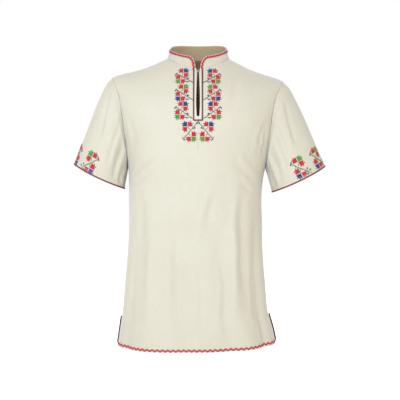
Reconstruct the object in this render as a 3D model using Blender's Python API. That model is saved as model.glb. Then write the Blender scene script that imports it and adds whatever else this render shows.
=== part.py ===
"""Short-sleeved embroidered tunic with a stand collar, in its worn and hollow form.

Metres, +Z up. The front faces -Y and the origin is the middle of the neck base.
Each piece of cloth is a thin wall on a surface worked out from the garment's own sizes.
"""
import math
from collections import namedtuple

import bpy
from mathutils import Vector

# Cloth, seams and trims
CLOTH = 0.0015
SEAM_GAP = 0.0003
TRIM_LIFT = 0.0006
TRIM_THICKNESS = 0.0010

# Heights of the main levels
HEM_Z = -0.7345
HEM_SIDE_RISE = 0.0050
VENT_TOP_Z = -0.660
UNDERARM_Z = -0.270
SHOULDER_TIP_Z = -0.0485
NECK_SIDE_Z = 0.004
FRONT_CURL_Z = -0.155
BACK_CURL_Z = -0.120

# Neck opening and stand collar
NECK_HALF_WIDTH = 0.081
FRONT_NECK_DROP = 0.036
BACK_NECK_RISE = 0.010
NECK_SHOULDER_SLOPE = 0.43
BACK_NECK_CREST = 0.038
COLLAR_TOP_HALF_WIDTH = 0.0727
COLLAR_TOP_HALF_DEPTH = 0.0660
COLLAR_FRONT_TOP_Z = -0.0008
COLLAR_SIDE_TOP_Z = 0.0305
COLLAR_BACK_TOP_Z = 0.0510
COLLAR_FRONT_CURVE = 0.22
COLLAR_BACK_CURVE = 1.6
COLLAR_END_HEIGHT = 0.0040
COLLAR_ROUNDING = 0.0170

# Neck slit, its band and its braid
SLIT_X = -0.0008
SLIT_PULL = 0.35
SLIT_BOTTOM_Z = -0.1584
PLACKET_HALF_WIDTH = 0.0088
PLACKET_BELOW_SLIT = 0.0075
BRAID_GAP = 0.0004
BRAID_WIDTH = 0.0032

# Vents and zigzag trims
VENT_OPENING = 0.007
VENT_OPENING_SPREAD = 0.6
VENT_TRIM_COLUMNS = 6
VENT_SWING_SHARE = 0.70
VENT_BAND_SHARE = 0.85
ZIGZAG_BAND = 0.0032
HEM_ZIGZAG_STEP = 0.0065
HEM_ZIGZAG_SWING = 0.0042
COLLAR_ZIGZAG_STEP = 0.0050
COLLAR_ZIGZAG_SWING = 0.0020
TRIM_EDGE_MARGIN = 0.0008
CUFF_BRAID_WIDTH = 0.0034

# Hook and eye
WIRE_RADIUS = 0.00050
WIRE_TURN_STEPS = 8
EYE_TOP_Z = -0.0402
EYE_ARM_SPACING = 0.0052
EYE_END_X = -0.0020
EYE_ROOT_X = 0.0052
HOOK_ROOT_X = -0.0072

# Cross-section of the body and the grids of cloth
BODY_POWER = 2.3
FOLD_EDGE_POWER = 12
FOLD_GROWTH = 2.2
SLEEVE_ROW_POWER = 1.4
SLEEVE_FOLD_POWER = 0.7
SHARP_DEGREES = 50.0
ARMHOLE_STEPS = 10
SHOULDER_STEPS = 12
SPREAD_TOP_Z = -0.150
LEVEL_ROWS = 9
SLIT_ROW = LEVEL_ROWS + ARMHOLE_STEPS // 2
SLEEVE_ROWS = 8
COLLAR_ROWS = 3

Section = namedtuple("Section", "z half_width front back shift lean")
BODY = [
    Section(-0.740, 0.2045, 0.122, 0.122, -0.0045, 0.017),
    Section(-0.700, 0.1985, 0.121, 0.122, -0.0055, 0.016),
    Section(-0.650, 0.1885, 0.120, 0.122, -0.0088, 0.015),
    Section(-0.600, 0.1838, 0.119, 0.121, -0.0091, 0.011),
    Section(-0.540, 0.1780, 0.119, 0.118, -0.0091, 0.006),
    Section(-0.480, 0.1738, 0.120, 0.114, -0.0085, 0.002),
    Section(-0.420, 0.1724, 0.122, 0.111, -0.0080, -0.003),
    Section(-0.360, 0.1716, 0.125, 0.111, -0.0088, -0.009),
    Section(-0.310, 0.1732, 0.129, 0.114, -0.0070, -0.014),
    Section(-0.270, 0.1785, 0.133, 0.118, -0.0045, -0.017),
    Section(-0.250, 0.1840, 0.134, 0.120, -0.0042, -0.018),
    Section(-0.220, 0.1914, 0.135, 0.122, -0.0040, -0.019),
    Section(-0.180, 0.2044, 0.135, 0.125, -0.0040, -0.021),
    Section(-0.140, 0.2159, 0.133, 0.126, -0.0038, -0.022),
    Section(-0.100, 0.2316, 0.128, 0.123, -0.0033, -0.023),
    Section(-0.0485, 0.2675, 0.119, 0.115, -0.0023, -0.023),
    Section(0.020, 0.3050, 0.110, 0.108, 0.0000, 0.000),
    Section(0.080, 0.3300, 0.105, 0.105, 0.0000, 0.000),
]

Shoulder = namedtuple("Shoulder", "x z")
SHOULDER = [
    Shoulder(0.0810, 0.0040),
    Shoulder(0.1080, -0.0095),
    Shoulder(0.1350, -0.0215),
    Shoulder(0.1690, -0.0325),
    Shoulder(0.1990, -0.0405),
    Shoulder(0.2205, -0.0485),
]

Armhole = namedtuple("Armhole", "z x")
ARMHOLE = [
    Armhole(-0.2700, 0.1785),
    Armhole(-0.2500, 0.1780),
    Armhole(-0.2200, 0.1800),
    Armhole(-0.1800, 0.1850),
    Armhole(-0.1400, 0.1900),
    Armhole(-0.1000, 0.1980),
    Armhole(-0.0750, 0.2085),
    Armhole(-0.0485, 0.2205),
]

Slit = namedtuple("Slit", "z half_width")
SLIT = [
    Slit(-0.1584, 0.0030),
    Slit(-0.1300, 0.0045),
    Slit(-0.1000, 0.0043),
    Slit(-0.0700, 0.0034),
    Slit(-0.0450, 0.0029),
    Slit(-0.0320, 0.0048),
]

# Angles round the neck where the panels have a point, from the front middle to the side
NECK_FRONT_DEGREES = [6.7, 18.0, 32.9, 47.8, 62.7, 77.2, 90.0]
NECK_BACK_DEGREES = [180.0, 165.0, 150.0, 135.0, 120.0, 105.0, 90.0]
# Where the collar's rounded front corner needs points of its own, as shares of its first step
COLLAR_CORNER_SHARES = [0.0, 0.14, 0.32, 0.58, 1.0]

# Girth position runs from -1 at the left side seam to 1 at the right one, seen from outside
Fold = namedtuple("Fold", "girth_top z_top girth_bottom z_bottom half_width depth")
FRONT_FOLDS = [
    Fold(0.70, -0.330, 0.66, -0.760, 0.075, -0.0090),
    Fold(0.45, -0.280, 0.43, -0.760, 0.090, 0.0045),
    Fold(0.20, -0.360, 0.26, -0.700, 0.070, -0.0035),
    Fold(-0.12, -0.420, -0.09, -0.760, 0.085, -0.0040),
    Fold(-0.72, -0.270, -0.68, -0.760, 0.075, -0.0065),
    Fold(-0.45, -0.300, -0.42, -0.760, 0.100, 0.0030),
]
BACK_FOLDS = [
    Fold(0.62, -0.250, 0.66, -0.760, 0.080, -0.0075),
    Fold(0.20, -0.300, 0.26, -0.760, 0.090, -0.0050),
    Fold(-0.05, -0.330, -0.02, -0.760, 0.100, 0.0040),
    Fold(-0.26, -0.280, -0.31, -0.760, 0.085, -0.0055),
    Fold(-0.66, -0.260, -0.70, -0.760, 0.080, -0.0070),
]

Sleeve = namedtuple("Sleeve", "name side outer_x outer_z inner_x inner_z")
SLEEVES = [
    Sleeve("left", -1, -0.3210, -0.2700, -0.1915, -0.3330),
    Sleeve("right", 1, 0.3270, -0.2755, 0.1910, -0.3420),
]
CUFF_HALF_DEPTH = 0.0625
CUFF_FORWARD = 0.010
CUFF_DIP = 0.0040
SLEEVE_TOP_BULGE = 0.0075
SLEEVE_SIDE_BULGE = 0.006

# Angle round the sleeve from its top, in the same sense on both: the front is 90
SleeveFold = namedtuple("SleeveFold", "degrees half_width start end depth")
SLEEVE_FOLDS = [
    SleeveFold(62, 17, 0.15, 0.95, -0.0035),
    SleeveFold(118, 18, 0.10, 1.00, -0.0040),
    SleeveFold(-70, 20, 0.10, 0.95, -0.0040),
]

# Colours as linear red, green and blue
CREAM = (0.80, 0.76, 0.60)
BAND_CREAM = (0.86, 0.83, 0.72)
RED = (0.62, 0.012, 0.022)
DARK_RED = (0.33, 0.012, 0.014)
MAROON = (0.13, 0.022, 0.016)
STEEL = (0.72, 0.70, 0.66)


def clamp(value, low=0.0, high=1.0):
    return max(low, min(high, value))


def ease(value):
    """Smooth step from 0 to 1."""
    share = clamp(value)
    return share * share * (3.0 - 2.0 * share)


def track(rows, place, key, column):
    """Smooth value of a table's column at a place along its key column."""
    places = [getattr(row, key) for row in rows]
    values = [getattr(row, column) for row in rows]
    if places[0] > places[-1]:
        places.reverse()
        values.reverse()
    place = clamp(place, places[0], places[-1])
    last = len(places) - 1
    step = next(i for i in range(last) if place <= places[i + 1])

    def slope(i):
        low, high = max(i - 1, 0), min(i + 1, last)
        return (values[high] - values[low]) / (places[high] - places[low])

    span = places[step + 1] - places[step]
    share = (place - places[step]) / span
    square, cube = share ** 2, share ** 3
    return ((2 * cube - 3 * square + 1) * values[step]
            + (cube - 2 * square + share) * span * slope(step)
            + (3 * square - 2 * cube) * values[step + 1]
            + (cube - square) * span * slope(step + 1))


def body(z, column):
    return track(BODY, z, "z", column)


def top_z(x, face):
    """Height where the surface has curled over to the shoulder line, above or below the neck."""
    reach = abs(x)
    if reach >= NECK_HALF_WIDTH:
        return track(SHOULDER, reach, "x", "z")
    inside = 1.0 - (reach / NECK_HALF_WIDTH) ** 2
    crest = BACK_NECK_CREST if face == "back" else 0.0
    return NECK_SIDE_Z + NECK_SHOULDER_SLOPE * NECK_HALF_WIDTH / 2.0 * inside + crest * inside ** 2


def fold_depth(folds, girth, z):
    total = 0.0
    for fold in folds:
        share = (fold.z_top - z) / (fold.z_top - fold.z_bottom)
        if share <= 0.0:
            continue
        middle = fold.girth_top + (fold.girth_bottom - fold.girth_top) * clamp(share)
        away = (girth - middle) / fold.half_width
        total += fold.depth * ease(share * FOLD_GROWTH) * math.exp(-away * away)
    return total


def settle(x, y, z):
    """The small sideways shift and lean of the worn garment."""
    return Vector((x + body(z, "shift"), y, z + body(z, "lean") * x))


def body_point(x, z, face):
    """Point of the outer cloth of the front or back panel."""
    half_width = body(z, "half_width")
    depth = body(z, face)
    share = clamp(abs(x) / half_width)
    across = (1.0 - share ** BODY_POWER) ** (1.0 / BODY_POWER)
    curl_z = FRONT_CURL_Z if face == "front" else BACK_CURL_Z
    rise = clamp((z - curl_z) / (top_z(x, face) - curl_z))
    over = math.sqrt(1.0 - rise * rise)
    sign = math.copysign(1.0, x)
    seen_sign = sign if face == "front" else -sign
    folds = FRONT_FOLDS if face == "front" else BACK_FOLDS
    girth = seen_sign * math.asin(share) * 2.0 / math.pi
    lift = fold_depth(folds, girth, z) * (1.0 - share ** FOLD_EDGE_POWER) * over
    normal_x = share ** (BODY_POWER - 1.0) / half_width
    normal_y = across ** (BODY_POWER - 1.0) / depth
    length = math.hypot(normal_x, normal_y)
    below = (VENT_TOP_Z - z) / (VENT_TOP_Z - HEM_Z)
    vent = VENT_OPENING * ease(below * VENT_OPENING_SPREAD) / ease(VENT_OPENING_SPREAD)
    out_y = depth * across * over + lift * normal_y / length + max(vent, SEAM_GAP / 2.0)
    out_x = x + sign * lift * normal_x / length
    return settle(out_x, -out_y if face == "front" else out_y, z)


def neck_z(degrees):
    forward = math.cos(math.radians(degrees))
    if forward > 0.0:
        return NECK_SIDE_Z - FRONT_NECK_DROP * forward ** 2
    return NECK_SIDE_Z + BACK_NECK_RISE * forward ** 2


def half_top_edge(face):
    """Upper edge of half a panel as (x, z), from the middle out to the shoulder tip."""
    degrees = NECK_FRONT_DEGREES if face == "front" else NECK_BACK_DEGREES
    edge = [(NECK_HALF_WIDTH * math.sin(math.radians(d)), neck_z(d)) for d in degrees]
    for step in range(1, SHOULDER_STEPS + 1):
        x = NECK_HALF_WIDTH + (SHOULDER[-1].x - NECK_HALF_WIDTH) * step / SHOULDER_STEPS
        edge.append((x, track(SHOULDER, x, "x", "z")))
    return edge


def edge_x(z):
    """Half width of a panel, to its side seam or above that to its armhole."""
    if z <= UNDERARM_Z:
        return body(z, "half_width")
    return track(ARMHOLE, z, "z", "x")


def side_spread(share, z):
    """Share of the half width, moved out below the arms, where the panel turns back."""
    neck_share = NECK_HALF_WIDTH / SHOULDER[-1].x
    if share <= neck_share:
        return share
    turn = math.asin(neck_share)
    turn += (math.pi / 2.0 - turn) * (share - neck_share) / (1.0 - neck_share)
    return share + (math.sin(turn) - share) * ease((SPREAD_TOP_Z - z) / (SPREAD_TOP_Z - UNDERARM_Z))


def column_heights(bottom, top, pull):
    """Heights of a column's rows: level up to the underarm, then shared out to the top edge.

    Pull brings the row in the middle of the upper ones to the slit's bottom.
    """
    slit_share = (SLIT_BOTTOM_Z - UNDERARM_Z) / (neck_z(0.0) - UNDERARM_Z)
    heights = [bottom + (UNDERARM_Z - bottom) * row / LEVEL_ROWS for row in range(LEVEL_ROWS + 1)]
    for step in range(1, ARMHOLE_STEPS + 1):
        share = (1.0 - math.cos(math.pi * step / ARMHOLE_STEPS)) / 2.0
        share += pull * (slit_share - 0.5) * 4.0 * share * (1.0 - share)
        heights.append(UNDERARM_Z + (top - UNDERARM_Z) * share)
    return heights


class Sheet:
    """Grid of outer points with their outward normals, rows going up and columns round."""

    def __init__(self, points, wrap=False, normals=None):
        self.points = points
        self.wrap = wrap
        self.normals = normals or self.own_normals()

    def own_normals(self):
        rows, columns = len(self.points), len(self.points[0])
        normals = []
        for i in range(rows):
            line = []
            for j in range(columns):
                if self.wrap:
                    before, after = (j - 1) % columns, (j + 1) % columns
                else:
                    before, after = max(j - 1, 0), min(j + 1, columns - 1)
                along = self.points[i][after] - self.points[i][before]
                up = self.points[min(i + 1, rows - 1)][j] - self.points[max(i - 1, 0)][j]
                line.append(along.cross(up).normalized())
            normals.append(line)
        return normals

    def at(self, column, row, lift=0.0):
        """Point lifted off the facets, at a fractional column and row."""
        rows, columns = len(self.points), len(self.points[0])
        column = clamp(column, 0.0, columns - 1 if not self.wrap else columns)
        row = clamp(row, 0.0, rows - 1)
        j = min(int(column), columns - (1 if self.wrap else 2))
        i = min(int(row), rows - 2)
        a, b = column - j, row - i
        after = (j + 1) % columns

        def mix(grid):
            near, far = grid[i][j], grid[i + 1][after]
            if a >= b:
                side = grid[i][after]
                return near + (side - near) * a + (far - side) * b
            side = grid[i + 1][j]
            return near + (side - near) * b + (far - side) * a

        normal = mix(self.normals).normalized()
        return mix(self.points) + normal * lift, normal

    def locate(self, x, z):
        """Fractional column and row of the point at a given x and z."""
        column, row = (len(self.points[0]) - 1) / 2.0, (len(self.points) - 1) / 2.0
        for _ in range(8):
            row = self.search(lambda r: self.at(column, r)[0].z - z, len(self.points) - 1)
            column = self.column_at(x, row)
        return column, row

    def column_at(self, x, row):
        """Fractional column where a row reaches a given x."""
        return self.search(lambda c: self.at(c, row)[0].x - x, len(self.points[0]) - 1)

    @staticmethod
    def search(gap, last):
        """Place where a steadily rising gap crosses zero."""
        low, high = 0.0, float(last)
        for _ in range(30):
            middle = (low + high) / 2.0
            if gap(middle) < 0.0:
                low = middle
            else:
                high = middle
        return (low + high) / 2.0


def slit_line(z):
    """Place of the slit's middle line before the garment's small sideways shift."""
    return SLIT_X - body(z, "shift")


def panel_column(x_top, z_top, face):
    """Column from the hem to a point of the top edge, kept beside the slit where that is near."""
    share = x_top / SHOULDER[-1].x
    pull = ease(1.0 - abs(share) / SLIT_PULL) if face == "front" else 0.0
    hem_z = HEM_Z + HEM_SIDE_RISE * abs(share) ** 3
    points = []
    for z in column_heights(hem_z, z_top, pull):
        x = math.copysign(side_spread(abs(share), z), share) * edge_x(z)
        points.append((x + pull * (slit_line(z) - slit_line(z_top)), z))
    return points


def slit_column(sign):
    """Column along one edge of the slit, carried straight down to the hem."""
    points = []
    for z in column_heights(HEM_Z, neck_z(0.0), 1.0):
        half_width = track(SLIT, max(z, SLIT_BOTTOM_Z), "z", "half_width")
        points.append((slit_line(z) + sign * half_width, z))
    return points


def panel_sheet(face):
    """Front or back panel, its columns running so that the outer side faces out."""
    half = half_top_edge(face)
    columns = [panel_column(-x, z, face) for x, z in reversed(half)]
    if face == "front":
        columns.append(slit_column(-1))
        columns.append(slit_column(1))
        columns += [panel_column(x, z, face) for x, z in half]
    else:
        columns += [panel_column(x, z, face) for x, z in half[1:]]
        columns.reverse()
    points = [[body_point(*column[i], face) for column in columns] for i in range(len(columns[0]))]
    return Sheet(points)


def cuff_ring(sleeve):
    """Ring of the cuff's edge, from its outer corner round to where it started."""
    outer = Vector((sleeve.outer_x, -CUFF_FORWARD, sleeve.outer_z))
    inner = Vector((sleeve.inner_x, -CUFF_FORWARD, sleeve.inner_z))
    centre = (outer + inner) / 2.0
    reach = (outer - inner) / 2.0
    down = Vector((-reach.z, 0.0, reach.x)) * -sleeve.side
    down.normalize()
    ring = []
    for step in range(2 * ARMHOLE_STEPS):
        turn = math.pi * step / ARMHOLE_STEPS
        sideways = Vector((0.0, CUFF_HALF_DEPTH * sleeve.side * math.sin(turn), 0.0))
        dip = down * CUFF_DIP * math.sin(turn) ** 2
        ring.append(centre + reach * math.cos(turn) + sideways + dip)
    return ring, centre


def sleeve_fold(degrees, share):
    total = 0.0
    for fold in SLEEVE_FOLDS:
        away = (degrees - fold.degrees + 180.0) % 360.0 - 180.0
        along = clamp((share - fold.start) / (fold.end - fold.start))
        swell = math.sin(math.pi * along ** SLEEVE_FOLD_POWER)
        total += fold.depth * swell * math.exp(-(away / fold.half_width) ** 2)
    return total


def sleeve_sheet(sleeve, ring):
    """Tube from the armhole ring out to the cuff, rows running from the cuff up."""
    cuff, centre = cuff_ring(sleeve)
    points = []
    for row in range(SLEEVE_ROWS + 1):
        share = (1.0 - row / SLEEVE_ROWS) ** SLEEVE_ROW_POWER
        line = []
        for step, (start, end) in enumerate(zip(ring, cuff)):
            turn = math.pi * step / ARMHOLE_STEPS
            outward = (end - centre).normalized()
            bulge = SLEEVE_TOP_BULGE * max(math.cos(turn), 0.0) + SLEEVE_SIDE_BULGE * abs(math.sin(turn))
            lift = bulge * math.sin(math.pi * math.sqrt(share))
            lift += sleeve_fold(-math.degrees(turn) * sleeve.side, share)
            line.append(start.lerp(end, share) + outward * lift)
        points.append(line)
    return Sheet(points, wrap=True)


def collar_crest(degrees):
    """Point on the collar's top edge where nothing is rounded off."""
    turn = math.radians(degrees)
    forward = math.cos(turn)
    if forward > 0.0:
        rise = COLLAR_FRONT_TOP_Z - COLLAR_SIDE_TOP_Z
        rise *= (1.0 - COLLAR_FRONT_CURVE) * forward + COLLAR_FRONT_CURVE * forward ** 2
    else:
        rise = COLLAR_BACK_TOP_Z - COLLAR_SIDE_TOP_Z
        rise *= 1.0 - (1.0 + forward) ** COLLAR_BACK_CURVE
    return settle(COLLAR_TOP_HALF_WIDTH * math.sin(turn), -COLLAR_TOP_HALF_DEPTH * forward,
                  COLLAR_SIDE_TOP_Z + rise)


def corner_share(distance, height):
    """Share of its full height that the collar keeps at a distance from its front end."""
    if distance >= COLLAR_ROUNDING:
        return 1.0
    inset = 1.0 - distance / COLLAR_ROUNDING
    low = COLLAR_END_HEIGHT / height
    return low + (1.0 - low) * math.sqrt(1.0 - inset ** 2)


def collar_lines(front, back):
    """Foot, full crest and kept share of height of each of the collar's columns."""
    middle = len(front.points[0]) // 2
    count = len(NECK_FRONT_DEGREES)
    right = [(front.points[-1][middle + 1 + i], NECK_FRONT_DEGREES[i]) for i in range(count)]
    left = [(front.points[-1][middle - 2 - i], -NECK_FRONT_DEGREES[i]) for i in range(count)]
    centre = len(back.points[0]) // 2
    behind = []
    for i in range(1, len(NECK_BACK_DEGREES) * 2 - 2):
        offset = i - (len(NECK_BACK_DEGREES) - 1)
        angle = 180.0 + offset * (NECK_BACK_DEGREES[0] - NECK_BACK_DEGREES[1])
        behind.append((back.points[-1][centre + offset], angle))
    lines = []
    for foot, degrees in right + behind + list(reversed(left)):
        lines.append((foot, collar_crest(degrees)))
    start, end = lines[:2], lines[-2:]

    def corner(near, far):
        made = []
        for share in COLLAR_CORNER_SHARES:
            foot = near[0].lerp(far[0], share)
            crest = near[1].lerp(far[1], share)
            kept = corner_share((foot - near[0]).length, (crest - foot).length)
            made.append((foot, crest, kept))
        return made

    first = corner(start[0], start[1])
    last = corner(end[1], end[0])
    middle_lines = [(foot, crest, 1.0) for foot, crest in lines[2:-2]]
    return first + middle_lines + list(reversed(last))


def collar_sheet(lines):
    points = []
    for row in range(COLLAR_ROWS + 1):
        share = row / COLLAR_ROWS
        points.append([foot.lerp(crest, kept * share) for foot, crest, kept in lines])
    return Sheet(points)


def mitre(before, after, normals, toward):
    """Shared normal of a seam's pieces at one point, and the direction across the seam."""
    tangent = (after - before).normalized()
    normal = sum(normals, Vector()).normalized()
    across = tangent.cross(normal).normalized()
    if across.dot(toward) < 0.0:
        across.negate()
    return (normal - across * normal.dot(across)).normalized(), across


def set_place(place, point, normal):
    sheet, i, j = place
    sheet.points[i][j] = point
    sheet.normals[i][j] = normal.copy()


def open_armhole(ring, panel_places, tube):
    """Part a sleeve from both panels along its closed armhole ring."""
    top = len(tube.points) - 1
    count = len(ring)
    for k, point in enumerate(ring):
        places = panel_places[k]
        level = len(places) > 1
        tube_normal = tube.normals[top][k]
        panel_normal = sum((sheet.normals[i][j] for sheet, i, j in places), Vector()).normalized()
        if level:
            tube_normal = Vector((tube_normal.x, 0.0, tube_normal.z)).normalized()
            panel_normal = Vector((panel_normal.x, 0.0, panel_normal.z)).normalized()
        normal, across = mitre(ring[k - 1], ring[(k + 1) % count], (panel_normal, tube_normal),
                               tube.points[top - 1][k] - point)
        if level:
            normal = Vector((normal.x, 0.0, normal.z)).normalized()
            across = Vector((across.x, 0.0, across.z)).normalized()
        set_place((tube, top, k), point + across * SEAM_GAP / 2.0, normal)
        for place in places:
            sheet, i, j = place
            moved = point - across * SEAM_GAP / 2.0
            if level:
                moved.y = math.copysign(SEAM_GAP / 2.0, sheet.points[i][j].y)
            set_place(place, moved, normal)


def open_neckline(lines, panel_places, collar):
    """Part the collar from both panels along the neckline."""
    feet = [foot for foot, _, _ in lines]
    last = len(feet) - 1
    frames = {}
    for column, places in panel_places.items():
        normals = [sheet.normals[i][j] for sheet, i, j in places]
        panel_normal = sum(normals, Vector()).normalized()
        normal, across = mitre(feet[max(column - 1, 0)], feet[min(column + 1, last)],
                               (panel_normal, collar.normals[0][column]),
                               collar.points[1][column] - feet[column])
        frames[column] = (normal, across)
        for place in places:
            sheet, i, j = place
            moved = feet[column] - across * SEAM_GAP / 2.0
            if len(places) > 1:
                moved.y = math.copysign(SEAM_GAP / 2.0, sheet.points[i][j].y)
            set_place(place, moved, normal)
    known = sorted(frames)
    for column in range(last + 1):
        before = max(k for k in known if k <= column)
        after = min(k for k in known if k >= column)
        share = (column - before) / (after - before) if after > before else 0.0
        normal = frames[before][0].lerp(frames[after][0], share).normalized()
        across = frames[before][1].lerp(frames[after][1], share).normalized()
        set_place((collar, 0, column), feet[column] + across * SEAM_GAP / 2.0, normal)


def flatten_side_seams(sheet, sign):
    """Keep the side and shoulder edges of a panel on its own side of the seam plane."""
    rows, columns = len(sheet.points), len(sheet.points[0])
    places = [(i, j) for i in range(LEVEL_ROWS + 1) for j in (0, columns - 1)]
    top = rows - 1
    places += [(top, j) for j in range(columns) if abs(sheet.points[top][j].y) < SEAM_GAP]
    for i, j in places:
        point, normal = sheet.points[i][j], sheet.normals[i][j]
        normal.y = 0.0
        normal.normalize()
        if abs(point.y) < SEAM_GAP:
            point.y = sign * SEAM_GAP / 2.0


def make_wall(name, sheet, thickness, material, keep=None):
    """Closed wall between a sheet and its copy moved inwards, with rims round every edge."""
    rows, columns = len(sheet.points), len(sheet.points[0])
    cells_across = columns if sheet.wrap else columns - 1
    outer = [point for line in sheet.points for point in line]
    inner = [point - normal * thickness
             for points, normals in zip(sheet.points, sheet.normals)
             for point, normal in zip(points, normals)]
    shift = len(outer)
    faces = []
    edges = set()
    for i in range(rows - 1):
        for j in range(cells_across):
            if keep and not keep(i, j):
                continue
            after = (j + 1) % columns
            corners = [i * columns + j, i * columns + after,
                       (i + 1) * columns + after, (i + 1) * columns + j]
            faces += split(corners, True)
            edges.update(zip(corners, corners[1:] + corners[:1]))
    faces += [[corner + shift for corner in reversed(face)] for face in faces]
    for start, end in edges:
        if (end, start) in edges:
            continue
        rim = [end, start, start + shift, end + shift]
        end_is_higher = tuple(outer[end].zyx) > tuple(outer[start].zyx)
        faces += split(rim, end_is_higher)
    return add_mesh(name, outer + inner, faces, material)


def split(corners, from_first):
    """Two triangles of a four-sided face, cut from its first corner or its second."""
    a, b, c, d = corners
    return [[a, b, c], [a, c, d]] if from_first else [[b, c, d], [b, d, a]]


def add_mesh(name, points, faces, material):
    used = sorted({corner for face in faces for corner in face})
    order = {corner: place for place, corner in enumerate(used)}
    mesh = bpy.data.meshes.new(name)
    mesh.from_pydata([points[corner] for corner in used], [],
                     [[order[corner] for corner in face] for face in faces])
    mesh.shade_smooth()
    mesh.set_sharp_from_angle(angle=math.radians(SHARP_DEGREES))
    mesh.materials.append(material)
    made = bpy.data.objects.new(name, mesh)
    bpy.context.scene.collection.objects.link(made)
    return made


def band_sheet(host, lines, wrap=False):
    """Trim laid on a host: each line is a row of fractional columns and rows of the host."""
    points, normals = [], []
    for line in lines:
        pairs = [host.at(column, row, TRIM_LIFT + TRIM_THICKNESS) for column, row in line]
        points.append([point for point, _ in pairs])
        normals.append([normal for _, normal in pairs])
    return Sheet(points, wrap, normals)


def slit_band(name, front, inner_gap, near, far, below, width, material):
    """U-shaped band round the slit, between two distances from its middle line.

    Its inner edge keeps a gap to the slit where near is not given. Its foot lies level.
    """
    top = len(front.points) - 1
    middle = len(front.points[0]) / 2.0
    crown = (front.at(middle, top)[0] - front.at(middle, top - 1)[0]).length
    legs = list(range(SLIT_ROW, top)) + [top - TRIM_EDGE_MARGIN / crown]

    def edges(z):
        inner = near or track(SLIT, max(z, SLIT_BOTTOM_Z), "z", "half_width") + inner_gap
        return [SLIT_X - far, SLIT_X - inner, SLIT_X + inner, SLIT_X + far]

    lines = []
    for z in (SLIT_BOTTOM_Z - below - width, SLIT_BOTTOM_Z - below):
        lines.append([front.locate(x, z) for x in edges(z)])
    for row in legs:
        z = front.at(middle, row)[0].z
        lines.append([(front.column_at(x, row), row) for x in edges(z)])
    make_wall(name, band_sheet(front, lines), TRIM_THICKNESS, material, lambda i, j: i == 0 or j != 1)


def make_placket(front, cream, maroon):
    foot = PLACKET_BELOW_SLIT - TRIM_EDGE_MARGIN
    slit_band("placket", front, BRAID_GAP, None, PLACKET_HALF_WIDTH, TRIM_EDGE_MARGIN, foot, cream)
    near = PLACKET_HALF_WIDTH + BRAID_GAP
    slit_band("placket_braid", front, 0.0, near, near + BRAID_WIDTH,
              PLACKET_BELOW_SLIT + BRAID_GAP, BRAID_WIDTH, maroon)


def place_at_length(lengths, wanted):
    """Fractional index where a list of rising lengths reaches the wanted one."""
    for i in range(len(lengths) - 1):
        if wanted <= lengths[i + 1]:
            return i + (wanted - lengths[i]) / (lengths[i + 1] - lengths[i])
    return float(len(lengths) - 1)


def running_lengths(points):
    lengths = [0.0]
    for before, after in zip(points, points[1:]):
        lengths.append(lengths[-1] + (after - before).length)
    return lengths


def zigzag(step, swing):
    """Distance of the zigzag's near edge from the cloth's edge."""
    return TRIM_EDGE_MARGIN + (swing if step % 2 else 0.0)


def make_hem_trim(name, panel, material):
    lengths = running_lengths(panel.points[0])
    margin = HEM_ZIGZAG_SWING + ZIGZAG_BAND + 3.0 * TRIM_EDGE_MARGIN
    count = round((lengths[-1] - 2.0 * margin) / HEM_ZIGZAG_STEP / 2.0) * 2
    lines = [[], []]
    for step in range(count + 1):
        along = margin + (lengths[-1] - 2.0 * margin) * step / count
        column = place_at_length(lengths, along)
        height = (panel.at(column, 1)[0] - panel.at(column, 0)[0]).length
        low = zigzag(step, HEM_ZIGZAG_SWING)
        lines[0].append((column, low / height))
        lines[1].append((column, (low + ZIGZAG_BAND) / height))
    make_wall(name, band_sheet(panel, lines), TRIM_THICKNESS, material)


def make_vent_trim(name, panel, at_start, material):
    """Zigzag up one side edge of a panel, from the hem to the top of the vent."""
    last = len(panel.points[0]) - 1
    edge = 0 if at_start else last
    lengths = running_lengths([line[edge] for line in panel.points])
    count = round((VENT_TOP_Z - HEM_Z) / HEM_ZIGZAG_STEP / 2.0) * 2
    lines = [[], []]
    for step in range(count + 1):
        along = TRIM_EDGE_MARGIN + (VENT_TOP_Z - HEM_Z) * step / count
        row = place_at_length(lengths, along)
        across = running_lengths([panel.at(edge + i if at_start else edge - i, row)[0]
                                  for i in range(VENT_TRIM_COLUMNS)])
        near = zigzag(step, HEM_ZIGZAG_SWING * VENT_SWING_SHARE)
        places = []
        for distance in (near, near + ZIGZAG_BAND * VENT_BAND_SHARE):
            column = place_at_length(across, distance)
            places.append(column if at_start else edge - column)
        lines[0].append((places[0], row))
        lines[1].append((places[1], row))
    rows = [list(pair) for pair in zip(*lines)]
    if not at_start:
        rows = [list(reversed(pair)) for pair in rows]
    make_wall(name, band_sheet(panel, rows), TRIM_THICKNESS, material)


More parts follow.
